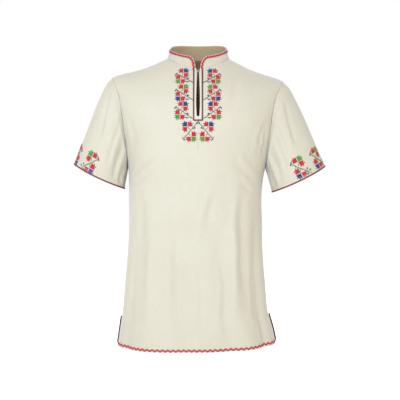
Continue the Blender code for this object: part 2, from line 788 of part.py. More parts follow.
def make_collar_trim(collar, lines, material):
    """Zigzag along the collar's upper edge and down its rounded front corners."""
    feet = running_lengths([foot for foot, _, _ in lines])
    heights = [(crest - foot).length for foot, crest, _ in lines]
    edge = [Vector((feet[i], heights[i] * lines[i][2], 0.0)) for i in range(len(lines))]
    lengths = running_lengths(edge)
    count = round(lengths[-1] / COLLAR_ZIGZAG_STEP / 2.0) * 2
    rows = [[], []]
    for step in range(count + 1):
        along = TRIM_EDGE_MARGIN + (lengths[-1] - 2.0 * TRIM_EDGE_MARGIN) * step / count
        place = place_at_length(lengths, along)
        i = min(int(place), len(edge) - 2)
        point = edge[i].lerp(edge[i + 1], place - i)
        before = edge[max(i - 1, 0)]
        after = edge[min(i + 2, len(edge) - 1)]
        direction = (after - before).normalized()
        inward = Vector((direction.y, -direction.x, 0.0))
        near = zigzag(step, COLLAR_ZIGZAG_SWING)
        for line, distance in zip(rows, (near + ZIGZAG_BAND, near)):
            spot = point + inward * distance
            column = place_at_length(feet, clamp(spot.x, TRIM_EDGE_MARGIN / 2.0,
                                                 feet[-1] - TRIM_EDGE_MARGIN / 2.0))
            j = min(int(column), len(feet) - 2)
            height = heights[j] + (heights[j + 1] - heights[j]) * (column - j)
            line.append((column, max(spot.y, TRIM_EDGE_MARGIN) / height))
    points, normals = [], []
    for line in rows:
        made = [ruled_point(lines, collar, column, share) for column, share in line]
        points.append([point for point, _ in made])
        normals.append([normal for _, normal in made])
    make_wall("collar_trim", Sheet(points, False, normals), TRIM_THICKNESS, material)


def ruled_point(lines, collar, column, share):
    """Point above the collar's facets at a fractional column and share of its full height."""
    j = min(int(column), len(lines) - 2)
    before = lines[j][0].lerp(lines[j][1], share)
    after = lines[j + 1][0].lerp(lines[j + 1][1], share)
    normal = collar.normals[1][j].lerp(collar.normals[1][j + 1], column - j).normalized()
    return before.lerp(after, column - j) + normal * (TRIM_LIFT + TRIM_THICKNESS), normal


def make_cuff_braid(name, sleeve, material):
    columns = len(sleeve.points[0])
    lines = [[], []]
    for j in range(columns):
        height = (sleeve.points[1][j] - sleeve.points[0][j]).length
        lines[0].append((j, TRIM_EDGE_MARGIN / 2.0 / height))
        lines[1].append((j, CUFF_BRAID_WIDTH / height))
    make_wall(name, band_sheet(sleeve, lines, wrap=True), TRIM_THICKNESS, material)


def make_wire(name, path, material):
    """Round wire along a path, with closed ends."""
    curve = bpy.data.curves.new(name, "CURVE")
    curve.dimensions = "3D"
    curve.bevel_depth = WIRE_RADIUS
    curve.bevel_resolution = 1
    curve.use_fill_caps = True
    line = curve.splines.new("POLY")
    line.points.add(len(path) - 1)
    for spot, point in zip(line.points, path):
        spot.co = (*point, 1.0)
    curve.materials.append(material)
    made = bpy.data.objects.new(name, curve)
    bpy.context.scene.collection.objects.link(made)


def make_fastening(front, steel):
    """Eye lying across the slit from the right band, and the hook that holds its end."""
    rest = TRIM_LIFT + TRIM_THICKNESS + SEAM_GAP + WIRE_RADIUS
    radius = EYE_ARM_SPACING / 2.0
    middle_z = EYE_TOP_Z - radius

    def spot(x, z, lift=0.0):
        return front.at(*front.locate(SLIT_X + x, z), rest + lift)[0]

    turn_x = EYE_END_X + radius
    straight = [EYE_ROOT_X, (EYE_ROOT_X + turn_x) / 2.0]
    path = [spot(x, EYE_TOP_Z) for x in straight]
    for step in range(WIRE_TURN_STEPS + 1):
        turn = math.pi * step / WIRE_TURN_STEPS
        path.append(spot(turn_x - radius * math.sin(turn), middle_z + radius * math.cos(turn)))
    path += [spot(x, EYE_TOP_Z - EYE_ARM_SPACING) for x in reversed(straight)]
    make_wire("neck_eye", path, steel)

    clear = 2.0 * WIRE_RADIUS + SEAM_GAP
    path = [spot(HOOK_ROOT_X, middle_z), spot(EYE_END_X - 2.0 * clear, middle_z)]
    for step in range(WIRE_TURN_STEPS + 1):
        turn = math.pi * step / WIRE_TURN_STEPS
        path.append(spot(EYE_END_X + clear * math.sin(turn), middle_z, clear * math.cos(turn)))
    make_wire("neck_hook", path, steel)


def make_material(name, colour, roughness, metallic=0.0):
    material = bpy.data.materials.new(name)
    material.use_nodes = True
    shader = material.node_tree.nodes["Principled BSDF"]
    shader.inputs["Base Color"].default_value = (*colour, 1.0)
    shader.inputs["Roughness"].default_value = roughness
    shader.inputs["Metallic"].default_value = metallic
    material.diffuse_color = (*colour, 1.0)
    return material


def clear_scene():
    for old in list(bpy.data.objects):
        bpy.data.objects.remove(old, do_unlink=True)


def armhole_places(panel, column):
    """Places of a panel's armhole edge, from the shoulder tip down to the underarm."""
    top = len(panel.points) - 1
    return [(panel, top - step, column) for step in range(ARMHOLE_STEPS + 1)]


def join_sleeve(sleeve, front, back):
    """Make one sleeve on its armhole, parted from both panels."""
    if sleeve.side > 0:
        leading = armhole_places(back, 0)
        trailing = armhole_places(front, len(front.points[0]) - 1)
    else:
        leading = armhole_places(front, 0)
        trailing = armhole_places(back, len(back.points[0]) - 1)
    places = [[place] for place in leading] + [[place] for place in reversed(trailing[1:-1])]
    places[0].append(trailing[0])
    places[ARMHOLE_STEPS].append(trailing[-1])
    ring = []
    for group in places:
        point = sum((sheet.points[i][j] for sheet, i, j in group), Vector()) / len(group)
        ring.append(point)
    tube = sleeve_sheet(sleeve, ring)
    open_armhole(ring, places, tube)
    return tube


def join_collar(front, back):
    """Make the collar on the neckline, parted from both panels."""
    lines = collar_lines(front, back)
    collar = collar_sheet(lines)
    top_front, top_back = len(front.points) - 1, len(back.points) - 1
    middle, centre = len(front.points[0]) // 2, len(back.points[0]) // 2
    steps = len(NECK_FRONT_DEGREES) - 1
    extra = len(COLLAR_CORNER_SHARES) - 2
    last = len(lines) - 1
    places = {0: [(front, top_front, middle + 1)], last: [(front, top_front, middle - 2)]}
    for i in range(1, steps + 1):
        places[i + extra] = [(front, top_front, middle + 1 + i)]
        places[last - i - extra] = [(front, top_front, middle - 2 - i)]
    for offset in range(-steps, steps + 1):
        column = last // 2 + offset
        places.setdefault(column, []).append((back, top_back, centre + offset))
    open_neckline(lines, places, collar)
    return lines, collar


def build():
    clear_scene()
    cream = make_material("cream_cotton", CREAM, 0.85)
    band = make_material("band_cotton", BAND_CREAM, 0.80)
    red = make_material("red_trim", RED, 0.65)
    dark_red = make_material("dark_red_braid", DARK_RED, 0.65)
    maroon = make_material("maroon_braid", MAROON, 0.70)
    steel = make_material("hook_wire", STEEL, 0.35, 1.0)

    front, back = panel_sheet("front"), panel_sheet("back")
    flatten_side_seams(front, -1.0)
    flatten_side_seams(back, 1.0)
    lines, collar = join_collar(front, back)
    for sleeve in SLEEVES:
        tube = join_sleeve(sleeve, front, back)
        make_wall("sleeve_" + sleeve.name, tube, CLOTH, cream)
        make_cuff_braid("cuff_braid_" + sleeve.name, tube, dark_red)

    slit_cell = len(front.points[0]) // 2 - 1
    make_wall("front", front, CLOTH, cream, lambda i, j: j != slit_cell or i < SLIT_ROW)
    make_wall("back", back, CLOTH, cream)
    make_wall("collar", collar, CLOTH, cream)
    make_placket(front, band, maroon)
    make_fastening(front, steel)
    make_collar_trim(collar, lines, red)
    make_hem_trim("hem_trim_front", front, red)
    make_hem_trim("hem_trim_back", back, red)
    make_vent_trim("vent_trim_front_left", front, True, red)
    make_vent_trim("vent_trim_front_right", front, False, red)
    make_vent_trim("vent_trim_back_right", back, True, red)
    make_vent_trim("vent_trim_back_left", back, False, red)


build()
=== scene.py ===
"""Looks of the embroidered tunic: fine cloth, trims, cross stitch, finishes, light and camera.

Metres, +Z up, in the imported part's own frame. The front faces -Y. Left and right are the viewer's.
"""
import math
from collections import namedtuple

import bmesh
import bpy
import numpy as np
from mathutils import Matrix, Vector


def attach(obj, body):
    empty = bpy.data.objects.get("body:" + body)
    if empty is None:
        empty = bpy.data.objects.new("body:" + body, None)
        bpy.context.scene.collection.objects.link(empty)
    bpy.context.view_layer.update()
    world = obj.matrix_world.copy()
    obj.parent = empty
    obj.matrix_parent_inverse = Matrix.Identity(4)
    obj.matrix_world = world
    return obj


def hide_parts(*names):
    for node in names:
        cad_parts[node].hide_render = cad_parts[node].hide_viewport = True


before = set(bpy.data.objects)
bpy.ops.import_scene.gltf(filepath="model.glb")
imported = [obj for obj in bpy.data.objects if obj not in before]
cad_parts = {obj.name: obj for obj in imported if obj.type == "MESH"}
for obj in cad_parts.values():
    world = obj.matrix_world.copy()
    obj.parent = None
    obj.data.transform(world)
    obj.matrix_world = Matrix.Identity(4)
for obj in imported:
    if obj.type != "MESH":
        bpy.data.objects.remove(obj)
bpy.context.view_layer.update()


def named(kind, table):
    """A table's rows with their columns named."""
    return [kind(*row) for row in table]


def named_mm(kind, table):
    """The same for a table in millimetres."""
    return [kind(*[value / 1000.0 for value in row]) for row in table]



# Cloth shells and seams
SHELL = 0.0008
SEAM_GAP = 0.0003
SEAM_DIP = 0.0002
SEAM_DIP_WIDTH = 0.0030
SEAM_FADE = 0.010
HEM_TURN = 0.0125
HEM_TURN_LIFT = 0.0005
HEM_STITCHING = 0.0016
PROBE = 0.0004

# Heights of the main levels
HEM_Z = -0.7345
HEM_SIDE_RISE = 0.0050
VENT_TOP_Z = -0.660
UNDERARM_Z = -0.270
SHOULDER_TIP_Z = -0.0485
NECK_SIDE_Z = 0.004
FRONT_CURL_Z = -0.155
BACK_CURL_Z = -0.120
SPREAD_TOP_Z = -0.150

# Neck opening and stand collar
NECK_HALF_WIDTH = 0.081
FRONT_NECK_DROP = 0.036
BACK_NECK_RISE = 0.010
NECK_SHOULDER_SLOPE = 0.43
BACK_NECK_CREST = 0.038
COLLAR_TOP_HALF_WIDTH = 0.0727
COLLAR_TOP_HALF_DEPTH = 0.0660
COLLAR_FRONT_TOP_Z = -0.0008
COLLAR_SIDE_TOP_Z = 0.0305
COLLAR_BACK_TOP_Z = 0.0510
COLLAR_FRONT_CURVE = 0.22
COLLAR_BACK_CURVE = 1.6
COLLAR_END_DEGREES = 5.2
COLLAR_END_HEIGHT = 0.0040
COLLAR_ROUNDING = 0.0225
COLLAR_THICKNESS = 0.0013
COLLAR_SLACK = 0.0009
COLLAR_ROLL = 0.0006
COLLAR_ROLL_WIDTH = 0.0020
COLLAR_ROWS = 15

# Neck slit with its band and braid
SLIT_X = -0.0008
SLIT_PULL = 0.35
SLIT_BOTTOM_Z = -0.1584
SLIT_ROUNDING = 0.0030
PLACKET_HALF_WIDTH = 0.0088
PLACKET_BELOW_SLIT = 0.0067
PLACKET_LIFT = 0.0006
PLACKET_PUFF = 0.0007
PLACKET_PUFF_EDGE = 0.0022
BRAID_MIDDLE = 0.0108
BRAID_BELOW_SLIT = 0.0095
BRAID_WIDTH = 0.0036

# Vents, zigzags and cuff braid
VENT_OPENING = 0.007
VENT_OPENING_SPREAD = 0.6
ZIGZAG_WIDTH = 0.0045
HEM_ZIGZAG_STEP = 0.0065
HEM_ZIGZAG_SWING = 0.0048
VENT_ZIGZAG_SWING = 0.0029
COLLAR_ZIGZAG_STEP = 0.0050
COLLAR_ZIGZAG_SWING = 0.0032
TRIM_EDGE_MARGIN = 0.0003
TRIM_BELOW_SEAM = 0.0060
TRIM_BASE_WIDTH = 0.0042
CUFF_BRAID_WIDTH = 0.0038
CORD_HEIGHT = 0.0011
CORD_BEAD = 0.0021
VENT_CORD_HEIGHT = 0.0030
TRIM_STEP = 0.0005
BRAID_STEP = 0.0006

BODY_POWER = 2.3
FOLD_EDGE_POWER = 12
FOLD_GROWTH = 2.2
SLEEVE_FOLD_POWER = 0.7

Section = namedtuple("Section", "z half_width front back shift lean")
BODY = named_mm(Section, [
    (-740, 204.5, 122, 122, -4.5, 17),
    (-700, 198.5, 121, 122, -5.5, 16),
    (-650, 188.5, 120, 122, -8.8, 15),
    (-600, 183.8, 119, 121, -9.1, 11),
    (-540, 178, 119, 118, -9.1, 6),
    (-480, 173.8, 120, 114, -8.5, 2),
    (-420, 172.4, 122, 111, -8, -3),
    (-360, 171.6, 125, 111, -8.8, -9),
    (-310, 173.2, 129, 114, -7, -14),
    (-270, 178.5, 133, 118, -4.5, -17),
    (-250, 184, 134, 120, -4.2, -18),
    (-220, 191.4, 135, 122, -4, -19),
    (-180, 204.4, 135, 125, -4, -21),
    (-140, 215.9, 133, 126, -3.8, -22),
    (-100, 231.6, 128, 123, -3.3, -23),
    (-48.5, 267.5, 119, 115, -2.3, -23),
    (20, 305, 110, 108, 0, 0),
    (80, 330, 105, 105, 0, 0),
])

Shoulder = namedtuple("Shoulder", "x z")
SHOULDER = named_mm(Shoulder, [
    (81, 4),
    (108, -9.5),
    (135, -21.5),
    (169, -32.5),
    (199, -40.5),
    (220.5, -48.5),
])

Armhole = namedtuple("Armhole", "z x")
ARMHOLE = named_mm(Armhole, [
    (-270, 178.5),
    (-250, 178),
    (-220, 180),
    (-180, 185),
    (-140, 190),
    (-100, 198),
    (-75, 208.5),
    (-48.5, 220.5),
])

Slit = namedtuple("Slit", "z half_width")
SLIT = named_mm(Slit, [
    (-158.4, 3),
    (-130, 4.5),
    (-100, 4.3),
    (-70, 3.4),
    (-45, 2.9),
    (-32, 4.8),
])

# Girth position runs from -1 at the left side seam to 1 at the right one, seen from outside
Fold = namedtuple("Fold", "girth_top z_top girth_bottom z_bottom half_width depth")
FRONT_FOLDS = named(Fold, [
    (0.70, -0.330, 0.66, -0.760, 0.075, -0.0090),
    (0.45, -0.280, 0.43, -0.760, 0.090, 0.0045),
    (0.20, -0.360, 0.26, -0.700, 0.070, -0.0035),
    (-0.12, -0.420, -0.09, -0.760, 0.085, -0.0040),
    (-0.72, -0.270, -0.68, -0.760, 0.075, -0.0065),
    (-0.45, -0.300, -0.42, -0.760, 0.100, 0.0030),
])
BACK_FOLDS = named(Fold, [
    (0.62, -0.250, 0.66, -0.760, 0.080, -0.0075),
    (0.20, -0.300, 0.26, -0.760, 0.090, -0.0050),
    (-0.05, -0.330, -0.02, -0.760, 0.100, 0.0040),
    (-0.26, -0.280, -0.31, -0.760, 0.085, -0.0055),
    (-0.66, -0.260, -0.70, -0.760, 0.080, -0.0070),
])

# Small creases: two ends on the panel seen from the front, how far the line bows, and its section
Crease = namedtuple("Crease", "x1 z1 x2 z2 bow width depth")
FRONT_CREASES = named_mm(Crease, [
    (-168, -300, -95, -225, 10, 10, 2.2),
    (-166, -325, -110, -285, 6, 8, 1.6),
    (150, -315, 85, -235, -10, 11, 2.4),
    (152, -345, 100, -300, -6, 8, 1.7),
    (-178, -150, -150, -250, -6, 7, 1.8),
    (178, -150, 152, -262, 6, 7.5, 2),
    (-100, -40, -70, -150, 10, 11, 1.2),
    (98, -38, 70, -160, -10, 11, 1.3),
    (-40, -400, -30, -722, 10, 15, 3.2),
    (58, -330, 30, -480, 8, 13, 2.6),
    (66, -500, 74, -725, -6, 9, 2),
    (118, -300, 131, -724, 7, 15, 7.5),
    (-188, -640, -194, -738, 1, 6, 3.6),
    (164, -630, 172, -738, -1, 6, 3),
    (174, -170, 166, -272, 2, 5, 3),
    (94, -420, 98, -640, -6, 8, -2),
    (-138, -290, -150, -722, -6, 15, 6.5),
    (-105, -430, -112, -690, 6, 9, -1.8),
    (-150, -500, -160, -720, 4, 7, 1.8),
    (140, -480, 150, -715, -4, 7, 2),
    (-75, -560, -70, -728, 4, 8, 1.4),
    (8, -520, 16, -728, -5, 9, 1.3),
])
BACK_CREASES = named_mm(Crease, [
    (-165, -300, -90, -215, 10, 10, 2.2),
    (150, -310, 80, -220, -10, 11, 2.4),
    (-160, -350, -105, -310, 6, 8, 1.6),
    (148, -350, 95, -305, -5, 8, 1.8),
    (-80, -75, 70, -85, 14, 12, 1.4),
    (-120, -120, -75, -260, 12, 12, 1.8),
    (112, -110, 66, -250, -12, 12, 1.9),
    (-120, -400, -128, -720, 8, 10, 2.6),
    (-60, -360, -72, -700, -10, 11, 2.2),
    (2, -330, -10, -650, 12, 12, 1.6),
    (55, -380, 68, -720, 8, 10, 2.4),
    (110, -350, 120, -715, -7, 9, 2.6),
    (140, -460, 150, -720, 5, 7, 1.8),
    (-150, -470, -160, -720, -4, 7, 1.8),
])

Sleeve = namedtuple("Sleeve", "name side outer_x outer_z inner_x inner_z motif_up motifs")
SLEEVES = named(Sleeve, [
    ("left", -1, -0.3210, -0.2700, -0.1915, -0.3330, -0.0025, (0.0560, -0.0020, -0.0600)),
    ("right", 1, 0.3270, -0.2755, 0.1910, -0.3420, 0.0020, (0.0785, 0.0205, -0.0375)),
])
CUFF_HALF_DEPTH = 0.0625
CUFF_FORWARD = 0.010
CUFF_DIP = 0.0040
SLEEVE_TOP_BULGE = 0.0075
SLEEVE_SIDE_BULGE = 0.006
FULLNESS_AT_SEAM = 0.35
FULLNESS_FADE = 0.10
UNDERARM_RADIUS = 0.066

# Angle round the sleeve from its top, in the same sense on both: the front is 90
SleeveFold = namedtuple("SleeveFold", "degrees half_width start end depth")
SLEEVE_FOLDS = named(SleeveFold, [
    (62, 17, 0.15, 0.95, -0.0035),
    (118, 18, 0.10, 1.00, -0.0040),
    (-70, 20, 0.10, 0.95, -0.0040),
])
SleeveCrease = namedtuple("SleeveCrease", "degrees1 share1 degrees2 share2 half_width depth")
SLEEVE_CREASES = named(SleeveCrease, [
    (48, 0.04, 66, 0.62, 5.5, 0.0022),
    (78, 0.02, 84, 0.50, 5.0, 0.0018),
    (97, 0.05, 104, 0.80, 5.5, 0.0024),
    (122, 0.08, 128, 0.97, 6.5, 0.0026),
    (146, 0.20, 150, 0.99, 7.0, 0.0022),
    (20, 0.05, 26, 0.40, 6.0, 0.0014),
    (-30, 0.05, -42, 0.55, 6.0, 0.0018),
    (-75, 0.03, -84, 0.85, 6.0, 0.0024),
    (-112, 0.06, -120, 0.95, 6.5, 0.0024),
    (-146, 0.20, -150, 0.98, 7.0, 0.0020),
])

# Cross stitch: the cell, and a petal charted outwards from its flower's centre, lowest row first
CELL = 0.00184
CUFF_CELL = 0.00210
PETAL = (
    "######.",
    "######.",
    "#####..",
    "#######",
    "#####..",
    "##.#...",
    "...#...",
)
QUADRANTS = {"upper_left": (-1, 1), "upper_right": (1, 1), "lower_left": (-1, -1), "lower_right": (1, -1)}

# Flowers as cells across and up from the motif's own origin, with a colour for each petal
Flower = namedtuple("Flower", "across up upper_left upper_right lower_left lower_right")
NeckMotif = namedtuple("NeckMotif", "x z drop first last")
NECK_MOTIFS = named(NeckMotif, [
    (-0.0359, -0.0465, 9, "blue", "green"),
    (-0.0359, -0.0897, 10, "green", "blue"),
    (-0.0367, -0.1335, 11, "blue", "green"),
])


def plain_clamp(value, low=0.0, high=1.0):
    return np.minimum(np.maximum(value, low), high)


def ease(value):
    """Smooth step from 0 to 1."""
    share = plain_clamp(value)
    return share * share * (3.0 - 2.0 * share)


def track(rows, key, column, place):
    """Smooth values of a table's column at places along its key column."""
    keys = np.array([getattr(row, key) for row in rows], float)
    values = np.array([getattr(row, column) for row in rows], float)
    if keys[0] > keys[-1]:
        keys, values = keys[::-1], values[::-1]
    slopes = np.gradient(values)
    slopes[1:-1] = (values[2:] - values[:-2]) / (keys[2:] - keys[:-2])
    slopes[0] = (values[1] - values[0]) / (keys[1] - keys[0])
    slopes[-1] = (values[-1] - values[-2]) / (keys[-1] - keys[-2])
    place = plain_clamp(np.asarray(place, float), keys[0], keys[-1])
    step = np.clip(np.searchsorted(keys, place, side="right") - 1, 0, len(keys) - 2)
    span = keys[step + 1] - keys[step]
    share = (place - keys[step]) / span
    square, cube = share ** 2, share ** 3
    return ((2 * cube - 3 * square + 1) * values[step]
            + (cube - 2 * square + share) * span * slopes[step]
            + (3 * square - 2 * cube) * values[step + 1]
            + (cube - square) * span * slopes[step + 1])


def body(z, column):
    return track(BODY, "z", column, z)


def unit(vectors):
    lengths = np.linalg.norm(vectors, axis=-1, keepdims=True)
    return vectors / np.maximum(lengths, 1e-12)


def top_z(x, face):
    """Height where the surface has curled over to the shoulder line, above or below the neck."""
    reach = np.abs(x)
    inside = 1.0 - (reach / NECK_HALF_WIDTH) ** 2
    crest = BACK_NECK_CREST if face == "back" else 0.0
    neck = NECK_SIDE_Z + NECK_SHOULDER_SLOPE * NECK_HALF_WIDTH / 2.0 * inside + crest * inside ** 2
    return np.where(reach >= NECK_HALF_WIDTH, track(SHOULDER, "x", "z", reach), neck)


def fold_depth(folds, girth, z):
    total = np.zeros_like(z)
    for fold in folds:
        share = (fold.z_top - z) / (fold.z_top - fold.z_bottom)
        middle = fold.girth_top + (fold.girth_bottom - fold.girth_top) * plain_clamp(share)
        away = (girth - middle) / fold.half_width
        total += fold.depth * ease(share * FOLD_GROWTH) * np.exp(-away * away)
    return total


def settled(x, y, z):
    """The small sideways shift and lean of the worn garment."""
    return np.stack([x + body(z, "shift"), y, z + body(z, "lean") * x], axis=-1)


def base_point(x, z, face):
    """Points of the outer cloth of the front or back panel, before its small creases."""
    x, z = np.broadcast_arrays(np.asarray(x, float), np.asarray(z, float))
    half_width, depth = body(z, "half_width"), body(z, face)
    share = plain_clamp(np.abs(x) / half_width)
    across = (1.0 - share ** BODY_POWER) ** (1.0 / BODY_POWER)
    curl_z = FRONT_CURL_Z if face == "front" else BACK_CURL_Z
    rise = plain_clamp((z - curl_z) / (top_z(x, face) - curl_z))
    over = np.sqrt(1.0 - rise * rise)
    sign = np.where(x < 0.0, -1.0, 1.0)
    girth = (sign if face == "front" else -sign) * np.arcsin(share) * 2.0 / math.pi
    folds = FRONT_FOLDS if face == "front" else BACK_FOLDS
    lift = fold_depth(folds, girth, z) * (1.0 - share ** FOLD_EDGE_POWER) * over
    normal_x = share ** (BODY_POWER - 1.0) / half_width
    normal_y = across ** (BODY_POWER - 1.0) / depth
    length = np.hypot(normal_x, normal_y)
    below = (VENT_TOP_Z - z) / (VENT_TOP_Z - HEM_Z)
    vent = VENT_OPENING * ease(below * VENT_OPENING_SPREAD) / ease(VENT_OPENING_SPREAD)
    out_y = depth * across * over + lift * normal_y / length + np.maximum(vent, SEAM_GAP / 2.0)
    out_x = x + sign * lift * normal_x / length
    return settled(out_x, -out_y if face == "front" else out_y, z)


def crease_lift(creases, x, z):
    """Height of the small creases: a soft trough beside a sharper ridge, fading at both ends."""
    total = np.zeros(np.broadcast(x, z).shape)
    for crease in creases:
        start = np.array([crease.x1, crease.z1])
        run = np.array([crease.x2, crease.z2]) - start
        length = np.hypot(*run)
        along = ((x - start[0]) * run[0] + (z - start[1]) * run[1]) / length ** 2
        side = ((x - start[0]) * run[1] - (z - start[1]) * run[0]) / length
        side = side - crease.bow * np.sin(math.pi * plain_clamp(along)) - waver(along, crease.bow)
        fade = ease(along * 3.0) * ease((1.0 - along) * 2.2)
        width = crease.width * (0.8 + 0.5 * plain_clamp(along))
        trough = -np.exp(-(side / width) ** 2)
        ridge = 0.62 * np.exp(-((side - 1.35 * width) / (0.75 * width)) ** 2)
        total += crease.depth * fade * (trough + ridge)
    return total


def waver(along, seed):
    """Small wandering of a crease's line."""
    return 0.0016 * np.sin(along * 9.0 + seed * 700.0) + 0.0008 * np.sin(along * 23.0 + seed * 300.0)


def soft_uneven(x, z, face):
    """Slow unevenness of worn cotton, well under a millimetre."""
    turn = 0.0 if face == "front" else 2.1
    total = 0.00055 * np.sin(x * 41.0 + z * 13.0 + turn) * np.sin(z * 29.0 - x * 9.0 + 1.3 * turn)
    total += 0.00035 * np.sin(x * 83.0 - z * 37.0 + 2.0 * turn) * np.sin(z * 61.0 + x * 17.0)
    return total + 0.00020 * np.sin(x * 170.0 + z * 52.0) * np.sin(z * 120.0 - x * 70.0 + turn)


def panel_point(x, z, face, lift=0.0):
    """Points and outward normals of a creased panel, lifted off the cloth."""
    x, z = np.broadcast_arrays(np.asarray(x, float), np.asarray(z, float))
    right = base_point(x + PROBE, z, face) - base_point(x - PROBE, z, face)
    up = base_point(x, z + PROBE, face) - base_point(x, z - PROBE, face)
    normal = unit(np.cross(right, up)) * (1.0 if face == "front" else -1.0)
    share = plain_clamp(np.abs(x) / body(z, "half_width"))
    keep = (1.0 - share ** FOLD_EDGE_POWER) * ease((top_z(x, face) - z) / 0.020)
    creases = FRONT_CREASES if face == "front" else BACK_CREASES
    height = (crease_lift(creases, x, z) + soft_uneven(x, z, face)) * keep
    return base_point(x, z, face) + normal * (height + lift)[..., None], normal


def slit_line(z):
    """Place of the slit's middle line before the garment's small sideways shift."""
    return SLIT_X - body(z, "shift")


def slit_half_width(z):
    """Half the slit's opening: rounded at its bottom and nothing below it."""
    above = plain_clamp((z - SLIT_BOTTOM_Z) / SLIT_ROUNDING)
    return track(SLIT, "z", "half_width", z) * np.sqrt(1.0 - (1.0 - above) ** 2)


def neck_edge_z(x, face):
    forward_square = 1.0 - plain_clamp(np.abs(x) / NECK_HALF_WIDTH) ** 2
    drop = -FRONT_NECK_DROP if face == "front" else BACK_NECK_RISE
    return NECK_SIDE_Z + drop * forward_square


def top_edge_z(x, face):
    reach = np.abs(x)
    return np.where(reach >= NECK_HALF_WIDTH, track(SHOULDER, "x", "z", reach), neck_edge_z(x, face))


def edge_x(z):
    """Half width of a panel, to its side seam or above that to its armhole."""
    return np.where(z <= UNDERARM_Z, body(z, "half_width"), track(ARMHOLE, "z", "x", z))


def side_spread(share, z):
    """Share of the half width, moved out below the arms, where the panel turns back."""
    neck_share = NECK_HALF_WIDTH / SHOULDER[-1].x
    turn = math.asin(neck_share)
    turn = turn + (math.pi / 2.0 - turn) * (share - neck_share) / (1.0 - neck_share)
    moved = (np.sin(turn) - share) * ease((SPREAD_TOP_Z - z) / (SPREAD_TOP_Z - UNDERARM_Z))
    return np.where(share <= neck_share, share, share + moved)


def upper_shares(count):
    """Shares of the rows above the underarm, with extra ones in the slit's rounded bottom."""
    steps = list(np.linspace(0.0, 1.0, count + 1))
    steps += [0.5 + extra for extra in (0.0007, 0.0021, 0.0043, 0.0067)]
    return (1.0 - np.cos(math.pi * np.array(sorted(steps)))) / 2.0


def half_grid(face, sign, shares, level_rows=150, upper_rows=90):
    """Panel coordinates x and z of half a panel: rows going up, columns from the middle out."""
    pull = ease(1.0 - shares / SLIT_PULL) if face == "front" else np.zeros_like(shares)
    top_x = sign * shares * SHOULDER[-1].x
    top_x = top_x + pull * (slit_line(SLIT[-1].z) + sign * SLIT[-1].half_width)
    top = top_edge_z(top_x, face)
    bottom = HEM_Z + HEM_SIDE_RISE * shares ** 3
    slit_share = (SLIT_BOTTOM_Z - UNDERARM_Z) / (top - UNDERARM_Z)
    rows = [bottom + (UNDERARM_Z - bottom) * row / level_rows for row in range(level_rows)]
    for share in upper_shares(upper_rows):
        warped = share + pull * (slit_share - 0.5) * 4.0 * share * (1.0 - share)
        rows.append(UNDERARM_Z + (top - UNDERARM_Z) * warped)
    z = np.array(rows)
    x = sign * side_spread(shares[None, :], z) * edge_x(z)
    x = x + pull[None, :] * (slit_line(z) + sign * slit_half_width(z))
    return x, z


def make_mesh(name, points, faces, material, uv=None):
    mesh = bpy.data.meshes.new(name)
    mesh.from_pydata([tuple(p) for p in points], [], [tuple(f) for f in faces])
    mesh.shade_smooth()
    mesh.materials.append(material)
    if uv is not None:
        layer = mesh.uv_layers.new(name="cloth_metres")
        loops = np.zeros(len(mesh.loops), int)
        mesh.loops.foreach_get("vertex_index", loops)
        layer.data.foreach_set("uv", np.asarray(uv, float)[loops].astype(np.float32).ravel())
    made = bpy.data.objects.new(name, mesh)
    bpy.context.scene.collection.objects.link(made)
    return made


def grid_faces(rows, columns, wrap=False, skip=(), flip=False):
    """Four-sided faces of a grid of points, without those of the skipped columns."""
    last = columns if wrap else columns - 1
    i, j = np.meshgrid(np.arange(rows - 1), np.arange(last), indexing="ij")
    keep = ~np.isin(j, list(skip))
    i, j = i[keep], j[keep]
    after = (j + 1) % columns
    faces = np.stack([i * columns + j, i * columns + after, (i + 1) * columns + after,
                      (i + 1) * columns + j], axis=-1)
    return faces[:, ::-1] if flip else faces


def along_rows(points):
    """Running length along each row of a grid of points."""
    steps = np.linalg.norm(np.diff(points, axis=1), axis=-1)
    return np.concatenate([np.zeros((len(points), 1)), np.cumsum(steps, axis=1)], axis=1)


def along_columns(points):
    return along_rows(points.swapaxes(0, 1)).swapaxes(0, 1)


def seam_dip(distance):
    """How far cloth is drawn in beside a seam."""
    return SEAM_DIP * np.exp(-(distance / SEAM_DIP_WIDTH) ** 2)


def hem_lift(height):
    """The turned-up hem stands a little proud up to its stitching."""
    return HEM_TURN_LIFT * ease((HEM_TURN - height) / HEM_STITCHING)


def weld(made):
    """Join the points that lie on each other, such as those below the slit."""
    mesh = bmesh.new()
    mesh.from_mesh(made.data)
    bmesh.ops.remove_doubles(mesh, verts=mesh.verts, dist=1e-5)
    mesh.to_mesh(made.data)
    mesh.free()


def make_cloth(name, points, running, rising, faces, looks, thickness=SHELL):
    """An open sheet with its thickness inwards, its weave in metres and a darker material on its inner
    side that paints the shade inside the garment.
    """
    uv = np.stack([running, rising], axis=-1).reshape(-1, 2)
    made = make_mesh(name, points.reshape(-1, 3), faces, looks[0], uv=uv)
    weld(made)
    made.data.materials.append(looks[1])
    solid = made.modifiers.new("cloth_thickness", "SOLIDIFY")
    solid.thickness = thickness
    solid.offset = -1.0
    solid.use_even_offset = True
    solid.material_offset = 1
    solid.material_offset_rim = 0
    return made


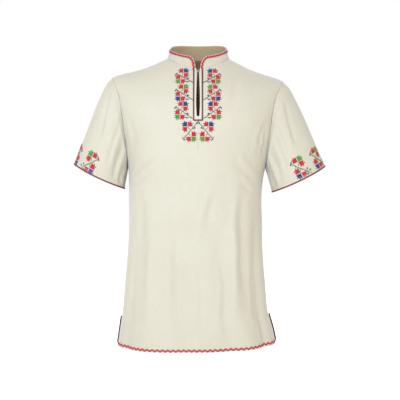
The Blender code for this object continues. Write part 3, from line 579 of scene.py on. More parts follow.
def make_panel(face, *looks):
    neck_share = NECK_HALF_WIDTH / SHOULDER[-1].x
    shares = np.concatenate([np.linspace(0.0, neck_share, 33), np.linspace(neck_share, 1.0, 61)[1:]])
    left_x, left_z = half_grid(face, -1.0, shares)
    right_x, right_z = half_grid(face, 1.0, shares)
    start = 0 if face == "front" else 1
    x = np.concatenate([left_x[:, ::-1], right_x[:, start:]], axis=1)
    z = np.concatenate([left_z[:, ::-1], right_z[:, start:]], axis=1)
    points, normals = panel_point(x, z, face)
    running, rising = along_rows(points), along_columns(points)
    sides = np.minimum(running, running[:, -1:] - running)
    top = rising[-1:] - rising
    drop = np.maximum(seam_dip(sides) * ease((z - VENT_TOP_Z) / SEAM_FADE), seam_dip(top))
    points = points + normals * (hem_lift(rising) - drop)[..., None]
    skip = [len(shares) - 1] if face == "front" else []
    middle = running[:, len(shares) - 1][:, None]
    faces = grid_faces(*x.shape, skip=skip, flip=face == "back")
    return make_cloth(face + "_cloth", points, running - middle, rising, faces, looks)


def armhole_point(side, turn):
    """Points of a sleeve's armhole ring; turn 0 is the shoulder tip and the front or back leads."""
    z = (SHOULDER_TIP_Z + UNDERARM_Z) / 2.0 + (SHOULDER_TIP_Z - UNDERARM_Z) / 2.0 * np.cos(turn)
    x = side * track(ARMHOLE, "z", "x", z)
    leading = np.sin(turn) >= 0.0
    first, second = ("back", "front") if side > 0 else ("front", "back")
    return np.where(leading[..., None], base_point(x, z, first), base_point(x, z, second))


def sleeve_fold(degrees, share):
    total = np.zeros(np.broadcast(degrees, share).shape)
    for fold in SLEEVE_FOLDS:
        away = (degrees - fold.degrees + 180.0) % 360.0 - 180.0
        along = plain_clamp((share - fold.start) / (fold.end - fold.start))
        swell = np.sin(math.pi * along ** SLEEVE_FOLD_POWER)
        total = total + fold.depth * swell * np.exp(-(away / fold.half_width) ** 2)
    return total


def sleeve_creases(degrees, share, side):
    """Small creases of a sleeve; the two sleeves' creases lie a few degrees apart."""
    total = np.zeros(np.broadcast(degrees, share).shape)
    for crease in SLEEVE_CREASES:
        along = (share - crease.share1) / (crease.share2 - crease.share1)
        line = crease.degrees1 + (crease.degrees2 - crease.degrees1) * along + 3.0 * side
        line = line + 2.0 * np.sin(along * 5.0 + crease.degrees1)
        away = ((degrees - line + 180.0) % 360.0 - 180.0) / crease.half_width
        fade = ease(along * 4.0) * ease((1.0 - along) * 3.0)
        shape = -np.exp(-away ** 2) + 0.6 * np.exp(-((away - 1.4) / 0.8) ** 2)
        total = total + crease.depth * fade * shape
    uneven = 0.00045 * np.sin(np.radians(degrees) * 5.0 + share * 4.0 + side)
    return total + uneven * np.sin(share * 9.0 + side) * ease(share * 6.0) * ease((1.0 - share) * 9.0)


def sleeve_point(sleeve, turn, share, lift=0.0):
    """Points of a creased sleeve: share 0 is the armhole and share 1 the cuff."""
    turn, share = np.broadcast_arrays(np.asarray(turn, float), np.asarray(share, float))
    outer = np.array([sleeve.outer_x, -CUFF_FORWARD, sleeve.outer_z])
    inner = np.array([sleeve.inner_x, -CUFF_FORWARD, sleeve.inner_z])
    centre, reach = (outer + inner) / 2.0, (outer - inner) / 2.0
    down = unit(np.array([-reach[2], 0.0, reach[0]]) * -sleeve.side)
    sideways = np.array([0.0, CUFF_HALF_DEPTH * sleeve.side, 0.0])
    cosine, sine = np.cos(turn)[..., None], np.sin(turn)[..., None]
    cuff = centre + reach * cosine + sideways * sine + down * CUFF_DIP * sine ** 2
    outward = unit(cuff - centre)
    bulge = SLEEVE_TOP_BULGE * np.maximum(np.cos(turn), 0.0) + SLEEVE_SIDE_BULGE * np.abs(np.sin(turn))
    degrees = -np.degrees(turn) * sleeve.side
    gathered = FULLNESS_AT_SEAM + (1.0 - FULLNESS_AT_SEAM) * ease(share / FULLNESS_FADE)
    fullness = np.sin(math.pi * np.sqrt(share)) * gathered
    height = bulge * fullness + sleeve_fold(degrees, share)
    height = height + sleeve_creases(degrees, share, sleeve.side) + lift
    start = armhole_point(sleeve.side, turn)
    return start + (cuff - start) * share[..., None] + outward * height[..., None]


def make_sleeve(sleeve, *looks, around=190, rows=110):
    turn = np.linspace(0.0, 2.0 * math.pi, around, endpoint=False)
    share = 1.0 - np.linspace(0.0, 1.0, rows + 1)
    share = share ** 1.15
    points = sleeve_point(sleeve, turn[None, :], share[:, None])
    rising = along_columns(points)
    outward = unit(points - points.mean(axis=1, keepdims=True))
    drop = seam_dip(rising[-1:] - rising)
    under = seam_dip(np.abs(turn - math.pi) * UNDERARM_RADIUS)[None, :] * 0.8
    points = points + outward * (hem_lift(rising) - drop - under)[..., None]
    closed = np.concatenate([points, points[:, :1]], axis=1)
    running = along_rows(closed)[:, :-1]
    faces = grid_faces(rows + 1, around, wrap=True)
    return make_cloth("sleeve_%s_cloth" % sleeve.name, points, running, rising, faces, looks)


def neck_foot(degrees):
    """Points of the neckline round the collar's foot."""
    turn = np.radians(degrees)
    x = NECK_HALF_WIDTH * np.sin(turn)
    ahead = np.cos(turn) > 0.0
    front = base_point(x, neck_edge_z(x, "front"), "front")
    back = base_point(x, neck_edge_z(x, "back"), "back")
    return np.where(ahead[..., None], front, back)


def collar_crest(degrees):
    """Points of the collar's top edge where nothing is rounded off."""
    turn = np.radians(degrees)
    forward = np.cos(turn)
    front = (COLLAR_FRONT_TOP_Z - COLLAR_SIDE_TOP_Z) * (
        (1.0 - COLLAR_FRONT_CURVE) * forward + COLLAR_FRONT_CURVE * forward ** 2)
    behind = (COLLAR_BACK_TOP_Z - COLLAR_SIDE_TOP_Z) * (
        1.0 - np.maximum(1.0 + np.minimum(forward, 0.0), 0.0) ** COLLAR_BACK_CURVE)
    rise = np.where(forward > 0.0, front, behind)
    return settled(COLLAR_TOP_HALF_WIDTH * np.sin(turn), -COLLAR_TOP_HALF_DEPTH * forward,
                   COLLAR_SIDE_TOP_Z + rise)


def collar_kept(degrees):
    """Share of its full height that the collar keeps beside its rounded front ends."""
    foot, crest = neck_foot(degrees), collar_crest(degrees)
    running = along_rows(foot[None])[0]
    distance = np.minimum(running, running[-1] - running)
    inset = 1.0 - plain_clamp(distance / COLLAR_ROUNDING)
    low = COLLAR_END_HEIGHT / np.linalg.norm(crest - foot, axis=-1)
    return low + (1.0 - low) * np.sqrt(1.0 - inset ** 2)


def collar_degrees(corner=16, middle=190):
    """Angles round the collar from its right front end, closer together in the rounded corners."""
    even = np.linspace(COLLAR_END_DEGREES, 360.0 - COLLAR_END_DEGREES, 1441)
    running = along_rows(neck_foot(even)[None])[0]
    near = COLLAR_ROUNDING * (1.0 - np.cos(np.linspace(0.0, math.pi / 2.0, corner + 1)))
    between = np.linspace(COLLAR_ROUNDING, running[-1] - COLLAR_ROUNDING, middle + 1)[1:-1]
    return np.interp(np.concatenate([near, between, running[-1] - near[::-1]]), running, even)


def collar_surface():
    """Grid of the collar's points with its angles, rows going up from the neckline."""
    degrees = collar_degrees()
    foot, crest, kept = neck_foot(degrees), collar_crest(degrees), collar_kept(degrees)
    shares = np.linspace(0.0, 1.0, COLLAR_ROWS)[:, None]
    return degrees, foot + (crest - foot) * kept[:, None] * shares[..., None]


def grid_normals(points):
    """Outward normals of a grid whose columns run round with the outside on their right."""
    return unit(np.cross(np.gradient(points, axis=1), np.gradient(points, axis=0)))


def make_collar(*looks):
    degrees, points = collar_surface()
    normals = grid_normals(points)
    rising = along_columns(points)
    upward = np.sin(math.pi * np.linspace(0.0, 1.0, COLLAR_ROWS))[:, None]
    slack = COLLAR_SLACK * np.sin(np.radians(degrees) * 7.0 + 0.7) * upward
    roll = COLLAR_ROLL * np.exp(-((rising[-1:] - rising) / COLLAR_ROLL_WIDTH) ** 2)
    points = points + normals * (slack + roll - seam_dip(rising))[..., None]
    faces = grid_faces(*points.shape[:2])
    running = along_rows(points)
    return make_cloth("collar_cloth", points, running, rising, faces, looks, COLLAR_THICKNESS)


def resample(line, step):
    """Points at even lengths along a line of points."""
    lengths = along_rows(line[None])[0]
    count = max(int(round(lengths[-1] / step)), 2)
    wanted = np.linspace(0.0, lengths[-1], count + 1)
    return np.stack([np.interp(wanted, lengths, line[:, k]) for k in range(line.shape[1])], axis=1)


def sweep(name, points, normals, section, material, closed=False):
    """Solid strip along a line on the cloth: section gives across and up offsets for each place."""
    if closed:
        tangent = np.roll(points, -1, axis=0) - np.roll(points, 1, axis=0)
    else:
        tangent = np.gradient(points, axis=0)
    across = unit(np.cross(normals, unit(tangent)))
    rings = np.array([section(length) for length in along_rows(points[None])[0]])
    made = points[:, None] + across[:, None] * rings[..., :1] + normals[:, None] * rings[..., 1:]
    count, size = rings.shape[:2]
    faces = list(grid_faces(count + closed, size, wrap=True) % (count * size))
    if not closed:
        faces += [range(size)[::-1], range((count - 1) * size, count * size)]
    return make_mesh(name, made.reshape(-1, 3), faces, material)


def cord_section(width, height, bead):
    """Rounded section of a thick stitched cord that swells once in each stitch."""
    def section(length):
        swell = 0.84 + 0.16 * abs(math.sin(math.pi * length / bead))
        ring = []
        for step in range(8):
            turn = 2.0 * math.pi * step / 8
            up = height * swell * (0.55 + 0.75 * math.sin(turn))
            ring.append((width / 2.0 * swell * math.cos(turn), up))
        return ring
    return section


def plait_section(width, height, bead, columns=7):
    """Flat braid whose strands cross from side to side."""
    def section(length):
        ring = []
        for step in range(columns):
            share = step / (columns - 1)
            side = 1.0 - share * 2.0
            phase = math.pi * length / bead
            strand = abs(math.sin(phase + abs(side) * 1.5))
            edge = math.sqrt(max(1.0 - side ** 2 * 0.9, 0.0))
            bulge = 1.0 + 0.07 * math.sin(2.0 * phase) * (1.0 if side > 0.0 else -1.0)
            ring.append((side * width / 2.0 * bulge, height * edge * (0.62 + 0.38 * strand)))
        ring += [(-width / 2.0 * 0.85, -0.0002), (width / 2.0 * 0.85, -0.0002)]
        return ring
    return section


def zigzag_wave(length, step):
    """Rounded zigzag between 0 and 1."""
    return 0.5 - np.arcsin(0.965 * np.cos(math.pi * length / step)) / math.pi


def interpolate(grid, row, column):
    """Values of a grid at fractional rows and columns."""
    i = np.clip(row.astype(int), 0, grid.shape[0] - 2)
    j = np.clip(column.astype(int), 0, grid.shape[1] - 2)
    a, b = (row - i)[:, None], (column - j)[:, None]
    low = grid[i, j] * (1.0 - b) + grid[i, j + 1] * b
    high = grid[i + 1, j] * (1.0 - b) + grid[i + 1, j + 1] * b
    return low * (1.0 - a) + high * a


def hem_coordinates(face):
    """The hem's panel coordinates from its left side seam to its right one."""
    share = np.linspace(-1.0, 1.0, 801)
    x = np.sign(share) * np.sin(np.abs(share) * math.pi / 2.0) * body(HEM_Z, "half_width")
    z = HEM_Z + HEM_SIDE_RISE * np.abs(x / body(HEM_Z, "half_width")) ** 3
    return x, z


def scallop_section(step):
    """Flat cream edging under a zigzag, wider at each turn of it."""
    def section(length):
        swell = 0.82 + 0.18 * abs(math.sin(math.pi * length / step))
        half = TRIM_BASE_WIDTH / 2.0
        low = -half * swell * 1.15
        return [(half, 0.0001), (half, 0.0005), (-half * 0.7, 0.0006), (low, 0.0004), (low, -0.0001)]
    return section


def make_hem_zigzag(face, red, cream):
    x, z = hem_coordinates(face)
    points, _ = panel_point(x, z, face)
    lengths = along_rows(points[None])[0]
    margin = HEM_ZIGZAG_SWING + ZIGZAG_WIDTH
    span = lengths[-1] - 2.0 * margin
    step = span / round(span / HEM_ZIGZAG_STEP)
    place = np.arange(0.0, span, TRIM_STEP)
    low = TRIM_EDGE_MARGIN + ZIGZAG_WIDTH / 2.0
    height = low + HEM_ZIGZAG_SWING * zigzag_wave(place, step)
    at_x = np.interp(place + margin, lengths, x)
    at_z = np.interp(place + margin, lengths, z) + height
    line, normals = panel_point(at_x, at_z, face, HEM_TURN_LIFT)
    base_z = np.interp(place + margin, lengths, z) + TRIM_EDGE_MARGIN / 2.0 + TRIM_BASE_WIDTH / 2.0
    base, base_normals = panel_point(at_x, base_z, face, HEM_TURN_LIFT)
    sweep("hem_scallop_" + face, base, base_normals, scallop_section(step), cream)
    cord = cord_section(ZIGZAG_WIDTH, CORD_HEIGHT, CORD_BEAD)
    return sweep("hem_zigzag_" + face, line, normals, cord, red)


def make_vent_zigzag(face, side, red):
    """Zigzag up one side edge of a panel, from the hem to the top of the vent."""
    bottom = HEM_Z + HEM_SIDE_RISE + 0.002
    place = np.arange(0.0, VENT_TOP_Z - bottom, TRIM_STEP)
    around = np.sin(np.linspace(math.pi / 2.0, 0.9, 300))
    line, normals = [], []
    low = TRIM_EDGE_MARGIN + ZIGZAG_WIDTH / 2.0
    distance = low + VENT_ZIGZAG_SWING * zigzag_wave(place, HEM_ZIGZAG_STEP)
    for height, wanted in zip(bottom + place, distance):
        x = side * around * body(height, "half_width")
        points, _ = panel_point(x, height, face)
        at = np.interp(wanted, along_rows(points[None])[0], x)
        point, normal = panel_point(at, height, face, HEM_TURN_LIFT)
        line.append(point)
        normals.append(normal)
    name = "vent_zigzag_%s_%s" % (face, "right" if side > 0 else "left")
    cord = cord_section(ZIGZAG_WIDTH * 1.35, VENT_CORD_HEIGHT, CORD_BEAD)
    return sweep(name, np.array(line), np.array(normals), cord, red)


def zigzag_below_seam(x, end):
    """The trim's last turn below the collar seam, where it meets the braid beside the slit."""
    drop = np.linspace(TRIM_BELOW_SEAM, 0.0004, 12)
    if end:
        drop = drop[::-1]
    away = math.copysign(1.0, x - SLIT_X)
    wave = zigzag_wave(drop, COLLAR_ZIGZAG_STEP) - zigzag_wave(np.zeros(1), COLLAR_ZIGZAG_STEP)
    height = float(neck_edge_z(0.0, "front")) - drop
    return on_front(x + away * COLLAR_ZIGZAG_SWING * 0.5 * wave, height, 0.0006)


def on_collar(points, foot, kept, spot):
    """Points and normals of the collar at lengths along its foot and up from it."""
    column = np.interp(spot[:, 0], foot, np.arange(len(foot)))
    row = plain_clamp(spot[:, 1] / np.interp(spot[:, 0], foot, kept), 0.02, 0.995) * (len(points) - 1)
    return interpolate(points, row, column), unit(interpolate(grid_normals(points), row, column))


def smoothed(direction):
    """Directions along a line with its corner eased."""
    for _ in range(10):
        middle = (direction[:-2] + direction[1:-1] * 2 + direction[2:]) / 4.0
        direction = unit(np.concatenate([direction[:1], middle, direction[-1:]]))
    return direction


def make_collar_zigzag(red, cream):
    """Zigzag along the collar's upper edge and down its rounded front ends."""
    points = collar_surface()[1]
    foot = along_rows(points[:1])[0]
    kept = np.linalg.norm(points[-1] - points[0], axis=-1)
    edge = resample(np.stack([foot, kept], axis=1), TRIM_STEP)
    direction = smoothed(unit(np.gradient(edge, axis=0)))
    inward = np.stack([direction[:, 1], -direction[:, 0]], axis=1)
    place = np.arange(len(edge)) * TRIM_STEP
    step = place[-1] / round(place[-1] / COLLAR_ZIGZAG_STEP)
    near = TRIM_EDGE_MARGIN + ZIGZAG_WIDTH / 2.0 + COLLAR_ZIGZAG_SWING * zigzag_wave(place, step)
    line, normals = on_collar(points, foot, kept, edge + inward * near[:, None])
    line = line + normals * 0.0005
    first, first_normals = zigzag_below_seam(line[0, 0], 0)
    last, last_normals = zigzag_below_seam(line[-1, 0], -1)
    line = np.concatenate([first, line, last])
    normals = np.concatenate([first_normals, normals, last_normals])
    base, base_normals = on_collar(points, foot, kept, edge + inward * (TRIM_BASE_WIDTH * 0.4))
    sweep("collar_scallop", base + base_normals * 0.0003, base_normals,
          scallop_section(COLLAR_ZIGZAG_STEP), cream)
    return sweep("collar_zigzag", line, normals, cord_section(ZIGZAG_WIDTH * 1.08, 0.0012, 0.0020), red)


def on_front(x, z, lift=0.0):
    """Points and normals of the front panel where they are seen at x and z."""
    x, z = np.asarray(x, float), np.asarray(z, float)
    u, v = x, z
    for _ in range(12):
        points = base_point(u, v, "front")
        u = u + (x - points[..., 0])
        v = v + (z - points[..., 2])
    return panel_point(u, v, "front", lift)


def share_above_cuff(sleeve, turn, height):
    """Share along the sleeve at a small height above the cuff's edge."""
    step = 0.02
    run = sleeve_point(sleeve, turn, 1.0) - sleeve_point(sleeve, turn, 1.0 - step)
    return 1.0 - height * step / np.linalg.norm(run, axis=-1)


def make_cuff_braid(sleeve, dark_red):
    turn = np.linspace(0.0, 2.0 * math.pi, 721)
    edge = sleeve_point(sleeve, turn, 1.0)
    lengths = along_rows(edge[None])[0]
    places = np.interp(np.arange(0.0, lengths[-1], BRAID_STEP), lengths, turn)
    above = share_above_cuff(sleeve, places, TRIM_EDGE_MARGIN / 2.0 + CUFF_BRAID_WIDTH / 2.0)
    line = sleeve_point(sleeve, places, above, HEM_TURN_LIFT)
    centre = line.mean(axis=0)
    tangent = np.roll(line, -1, axis=0) - np.roll(line, 1, axis=0)
    up = sleeve_point(sleeve, places, above - 0.03) - line
    normals = unit(np.cross(tangent, up))
    inwards = np.sum(normals * (line - centre), axis=1) < 0.0
    normals = np.where(inwards[:, None], -normals, normals)
    return sweep("cuff_braid_%s_detail" % sleeve.name, line, normals,
                 plait_section(CUFF_BRAID_WIDTH, CORD_HEIGHT, 0.0024), dark_red, closed=True)


def rounded_u(half_width, bottom, top, radius, step):
    """Line down one leg, across the foot and up the other leg, with rounded corners."""
    left = [(-half_width, top), (-half_width, bottom + radius)]
    for turn in np.radians(np.linspace(0.0, 90.0, 9))[1:-1]:
        inward, up = radius * (1.0 - math.cos(turn)), radius * (1.0 - math.sin(turn))
        left.append((-half_width + inward, bottom + up))
    left += [(-half_width + radius, bottom)]
    right = [(-x, z) for x, z in reversed(left)]
    return resample(np.array(left + right), step)


def make_placket_braid(maroon):
    top = float(neck_edge_z(0.0, "front")) - TRIM_BELOW_SEAM + 0.0004
    line = rounded_u(BRAID_MIDDLE, SLIT_BOTTOM_Z - BRAID_BELOW_SLIT, top, 0.0019, BRAID_STEP)
    points, normals = on_front(SLIT_X + line[:, 0], line[:, 1], 0.0003)
    plait = plait_section(BRAID_WIDTH, CORD_HEIGHT, 0.0023)
    return sweep("placket_braid_detail", points, normals, plait, maroon)


def make_placket_band(cotton):
    """Cream band beside the slit and under it, padded a little between its stitched edges."""
    top = float(neck_edge_z(0.0, "front")) - 0.0012
    bottom = SLIT_BOTTOM_Z - PLACKET_BELOW_SLIT
    heights = np.concatenate([np.linspace(bottom, SLIT_BOTTOM_Z + SLIT_ROUNDING, 14)[:-1],
                              np.linspace(SLIT_BOTTOM_Z + SLIT_ROUNDING, top, 90)])
    shares = np.linspace(0.0, 1.0, 9)
    made, faces, flat, start = [], [], [], 0
    for sign in (-1.0, 1.0):
        near = slit_half_width(heights)
        across = near[:, None] + (PLACKET_HALF_WIDTH - near[:, None]) * shares[None, :]
        x = SLIT_X + sign * across
        z = np.broadcast_to(heights[:, None], x.shape)
        below = np.hypot(across, z - SLIT_BOTTOM_Z)
        from_slit = np.where(z < SLIT_BOTTOM_Z, below, across - near[:, None])
        from_edge = np.minimum(np.minimum(from_slit, PLACKET_HALF_WIDTH - across), z - bottom)
        puff = PLACKET_LIFT + PLACKET_PUFF * plain_clamp(from_edge / PLACKET_PUFF_EDGE) ** 0.6
        points, _ = on_front(x, z, puff)
        under, _ = on_front(x, z, 0.00005)
        flat += [np.stack([x, z], axis=-1).reshape(-1, 2)] * 2
        made += [points.reshape(-1, 3), under.reshape(-1, 3)]
        rows, columns = x.shape
        faces += list(start + grid_faces(rows, columns, flip=sign < 0))
        rim = [i * columns for i in range(rows)] + [(rows - 1) * columns + j for j in range(1, columns)]
        rim += [i * columns - 1 for i in range(rows - 1, 0, -1)] + list(range(columns - 2, 0, -1))
        count = rows * columns
        for a, b in zip(rim, rim[1:] + rim[:1]):
            quad = [start + a, start + b, start + count + b, start + count + a]
            faces.append(quad if sign > 0 else quad[::-1])
        start += 2 * count
    return make_mesh("placket_band", np.concatenate(made), faces, cotton, uv=np.concatenate(flat))


# Cross stitch


def line_cells(x1, y1, x2, y2):
    """Cells of a thin line between two cells."""
    count = max(abs(x2 - x1), abs(y2 - y1))
    shares = [step / count for step in range(count + 1)]
    return {(round(x1 + (x2 - x1) * share), round(y1 + (y2 - y1) * share)) for share in shares}


def flower_cells(flower):
    """Cells of a flower with their colours: its petals, and the yellow lines at its centre."""
    cells = {(flower.across, flower.up): "yellow"}
    for quadrant, (side, rise) in QUADRANTS.items():
        colour = getattr(flower, quadrant)
        if colour is None:
            continue
        for up, row in enumerate(PETAL):
            for out, mark in enumerate(row):
                if mark == "#":
                    cells[(flower.across + side * (out + 1), flower.up + rise * (up + 1))] = colour
        if colour == "green":
            for out in range(1, 4):
                cells.setdefault((flower.across + side * out, flower.up), "yellow")
    return cells


def motif_cells(flowers, stems, leaves, stubs):
    cells = {}
    for stem in stems:
        cells.update(dict.fromkeys(line_cells(*stem), "stem"))
    cells.update(dict.fromkeys(leaves, "leaf"))
    cells.update(dict.fromkeys(stubs, "olive"))
    for flower in flowers:
        cells.update(flower_cells(flower))
    return cells


def neck_motif(motif):
    """One repeat beside the slit: two flowers either side of a slanting stem. Left of the slit."""
    low = -motif.drop
    return motif_cells(
        [Flower(0, 0, "red", motif.first, None, "red"), Flower(-4, low, "red", None, motif.last, "red")],
        [(12, low - 5, -9, -1)],
        [(-10, -1), (-10, -2), (-11, -2), (-11, -3), (-9, 0), (6, low), (6, low + 1), (5, low + 1),
         (7, low + 1), (6, low + 2), (5, low - 4), (6, low - 4), (4, low - 4), (5, low - 5), (7, low - 4)],
        [(-1, -1), (-2, -2), (-2, -3), (-3, low + 1), (-2, low + 2), (-2, low + 3)])


def lower_motif():
    """The spray under the slit. Left half, its origin on the slit's line under the braid."""
    return motif_cells(
        [Flower(-14, -7, "blue", "red", "red", None), Flower(-9, -20, None, "red", "red", "green")],
        [(0, 0, -19, -23)],
        [(-1, -2), (-1, -3), (-2, -3), (-3, -4), (-20, -22), (-20, -21), (-19, -24), (-18, -24),
         (-18, -25), (-5, -9), (-4, -9), (-5, -8), (-4, -8), (-6, -10)],
        [(-13, -8), (-12, -9), (-11, -10), (-11, -18), (-12, -17)])


def cuff_motif():
    """The spray above a cuff, rising away from the sleeve's outer side."""
    return motif_cells(
        [Flower(9, 21, "green", "red", "red", None), Flower(12, 8, None, "red", "red", "blue")],
        [(0, 2, 18, 22)],
        [(19, 22), (19, 21), (18, 23), (17, 23), (17, 24), (0, 6), (-1, 6), (-1, 7), (1, 6),
         (4, 3), (5, 3), (5, 2), (4, 4), (3, 9), (2, 10), (2, 9)],
        [(10, 18), (11, 17), (9, 19), (12, 10), (11, 12), (11, 11)])


def stitch_shape():
    """Points and faces of one cross stitch in cell units: two strands, the second over the first."""
    points, faces = [], []
    for sign, over in ((1.0, 0.00), (-1.0, 0.16)):
        start = len(points)
        along = Vector((1.0, sign, 0.0)).normalized()
        side = Vector((-along.y, along.x, 0.0))
        for place, height, width in ((-0.70, -0.10, 0.20), (-0.36, 0.17, 0.31), (0.36, 0.17, 0.31),
                                     (0.70, -0.10, 0.20)):
            raised = height + (over if abs(place) < 0.5 else 0.0)
            centre = along * place
            for across, up in ((-1.0, -0.05), (-0.45, 0.12), (0.45, 0.12), (1.0, -0.05)):
                point = centre + side * (across * width)
                points.append((point.x, point.y, raised + up))
        for ring in range(3):
            for step in range(3):
                a = start + ring * 4 + step
                faces.append((a + 1, a, a + 4, a + 5))
    return np.array(points), np.array(faces)


def make_stitches(name, places, material, rng):
    """Cross stitches laid on cloth: each place is a centre, two directions along it and its normal."""
    shape, shape_faces = stitch_shape()
    points, faces, tones = [], [], []
    for number, (centre, across, up, normal) in enumerate(places):
        turn = rng.uniform(-0.09, 0.09)
        size = rng.uniform(0.97, 1.05)
        side = (across * math.cos(turn) + up * math.sin(turn)) * size
        rise = (up * math.cos(turn) - across * math.sin(turn)) * size
        points.append(centre + shape[:, :1] * side + shape[:, 1:2] * rise + shape[:, 2:] * normal * CELL)
        faces.append(shape_faces + number * len(shape))
        tones += [rng.uniform(0.0, 1.0)] * len(shape)
    made = make_mesh(name, np.concatenate(points), np.concatenate(faces), material)
    tone = made.data.attributes.new("tone", "FLOAT", "POINT")
    tone.data.foreach_set("value", np.array(tones, np.float32))
    return made


def front_places(cells, origin_x, origin_z, mirror):
    """Stitch places on the front for a motif's cells, by colour; mirror turns it about the slit."""
    found = {}
    for (across, up), colour in cells.items():
        x = SLIT_X + mirror * (origin_x + across * CELL)
        found.setdefault(colour, []).append((x, origin_z + up * CELL))
    placed = {}
    for colour, spots in found.items():
        x, z = np.array(spots).T
        centre, normal = on_front(x, z, 0.0002)
        right = (on_front(x + PROBE, z)[0] - on_front(x - PROBE, z)[0]) * CELL / (2.0 * PROBE)
        up = (on_front(x, z + PROBE)[0] - on_front(x, z - PROBE)[0]) * CELL / (2.0 * PROBE)
        placed[colour] = list(zip(centre, right, up, normal))
    return placed


def cuff_places(cells, sleeve, arc):
    """Stitch places on a sleeve for a motif's cells, from an arc length in front of its outer side."""
    turn = np.linspace(0.0, 2.0 * math.pi, 1441)
    edge = sleeve_point(sleeve, turn, 1.0)
    lengths = along_rows(edge[None])[0]
    placed = {}
    for (across, up), colour in cells.items():
        distance = (arc + across * CUFF_CELL) * -sleeve.side
        at = float(np.interp(distance % lengths[-1], lengths, turn))
        column = sleeve_point(sleeve, at, np.linspace(1.0, 0.5, 30))
        rising = along_rows(column[None])[0]
        height = up * CUFF_CELL + sleeve.motif_up
        share = float(np.interp(height, rising, np.linspace(1.0, 0.5, 30)))
        centre = sleeve_point(sleeve, at, share)
        around = unit(sleeve_point(sleeve, at + 0.006, share) - sleeve_point(sleeve, at - 0.006, share))
        rise = unit(sleeve_point(sleeve, at, share - 0.003) - sleeve_point(sleeve, at, share + 0.003))
        normal = unit(np.cross(around, rise))
        places = (centre + normal * 0.0002, around * CUFF_CELL, rise * CUFF_CELL, normal)
        placed.setdefault(colour, []).append(places)
    return placed


def gather(found, placed):
    for colour, places in placed.items():
        found.setdefault(colour, []).extend(places)


def make_embroidery(materials):
    rng = np.random.default_rng(7)
    under = SLIT_BOTTOM_Z - BRAID_BELOW_SLIT - BRAID_WIDTH / 2.0 - CELL / 2.0
    found = {"front": {}, "left": {}, "right": {}}
    for mirror in (1.0, -1.0):
        for motif in NECK_MOTIFS:
            gather(found["front"], front_places(neck_motif(motif), motif.x, motif.z, mirror))
        gather(found["front"], front_places(lower_motif(), 0.0, under, mirror))
    for sleeve in SLEEVES:
        for arc in sleeve.motifs:
            gather(found[sleeve.name], cuff_places(cuff_motif(), sleeve, arc))
    made = {}
    for part, colours in found.items():
        name = "neck_stitches_%s" if part == "front" else "cuff_stitches_" + part + "_%s"
        made[part] = [make_stitches(name % colour, places, materials[colour], rng)
                      for colour, places in sorted(colours.items())]
    return made


# Finishes


class Nodes:
    """Short way to add and join the nodes of one material."""

    def __init__(self, name):
        self.material = bpy.data.materials.new(name)
        self.material.use_nodes = True
        self.tree = self.material.node_tree
        self.shader = self.tree.nodes["Principled BSDF"]

    def fill(self, socket, value):
        """Join a socket to another one, or set it."""
        if isinstance(value, bpy.types.NodeSocket):
            self.tree.links.new(value, socket)
        else:
            socket.default_value = value

    def add(self, kind, inputs=None, **settings):
        node = self.tree.nodes.new(kind)
        for key, value in settings.items():
            setattr(node, key, value)
        for key, value in (inputs or {}).items():
            self.fill(node.inputs[key], value)
        return node

    def finish(self, **values):
        """Fill the shader's own sockets, named with underscores, and give the material."""
        for key, value in values.items():
            self.fill(self.shader.inputs[key.replace("_", " ")], value)
        return self.material

    def mix(self, factor, first, second, blend="MIX"):
        first, second = [value if isinstance(value, bpy.types.NodeSocket) else (*value, 1.0)
                         for value in (first, second)]
        inputs = {0: factor, 6: first, 7: second}
        return self.add("ShaderNodeMix", inputs, data_type="RGBA", blend_type=blend).outputs[2]

    def noise(self, scale, detail=2.0, vector=None):
        """Fractal noise in the object's own space, or in that of a vector."""
        place = vector or self.add("ShaderNodeTexCoord").outputs["Object"]
        inputs = {"Vector": place, "Scale": scale, "Detail": detail}
        return self.add("ShaderNodeTexNoise", inputs).outputs[0]

    def bump(self, height, strength):
        inputs = {"Height": height, "Strength": strength, "Distance": 0.0002}
        return self.add("ShaderNodeBump", inputs).outputs[0]

    def math(self, operation, first, second=0.0):
        return self.add("ShaderNodeMath", {0: first, 1: second}, operation=operation).outputs[0]

    def scaled(self, value, times, plus=0.0):
        return self.math("ADD", self.math("MULTIPLY", value, times), plus)


def cotton(name, light, deep, weave=0.00075):
    """Plain woven cotton: crossing threads, slubs and slow changes of tone."""
    made = Nodes(name)
    uv = made.add("ShaderNodeUVMap", uv_map="cloth_metres").outputs[0]
    split = made.add("ShaderNodeSeparateXYZ", {0: uv})
    warp, weft = [made.math("SINE", made.scaled(split.outputs[axis], 2.0 * math.pi / weave))
                  for axis in (0, 1)]
    slubs = made.add("ShaderNodeMapping", {"Vector": uv, "Scale": (90.0, 900.0, 1.0)})
    slub = made.noise(1.0, vector=slubs.outputs[0])
    tone = made.mix(made.noise(9.0, 3.0), deep, light)
    tone = made.mix(made.scaled(slub, 0.16), tone, light)
    shade = made.scaled(made.noise(260.0), 0.10, 0.95)
    grey = made.add("ShaderNodeCombineColor", {0: shade, 1: shade, 2: shade}).outputs[0]
    threads = made.scaled(made.math("MULTIPLY", warp, weft), 0.5)
    height = made.math("ADD", threads, made.scaled(slub, 0.8))
    return made.finish(Base_Color=made.mix(1.0, tone, grey, "MULTIPLY"), Normal=made.bump(height, 0.35),
                       Roughness=0.82, Sheen_Weight=0.25, Sheen_Roughness=0.5, Specular_IOR_Level=0.25)


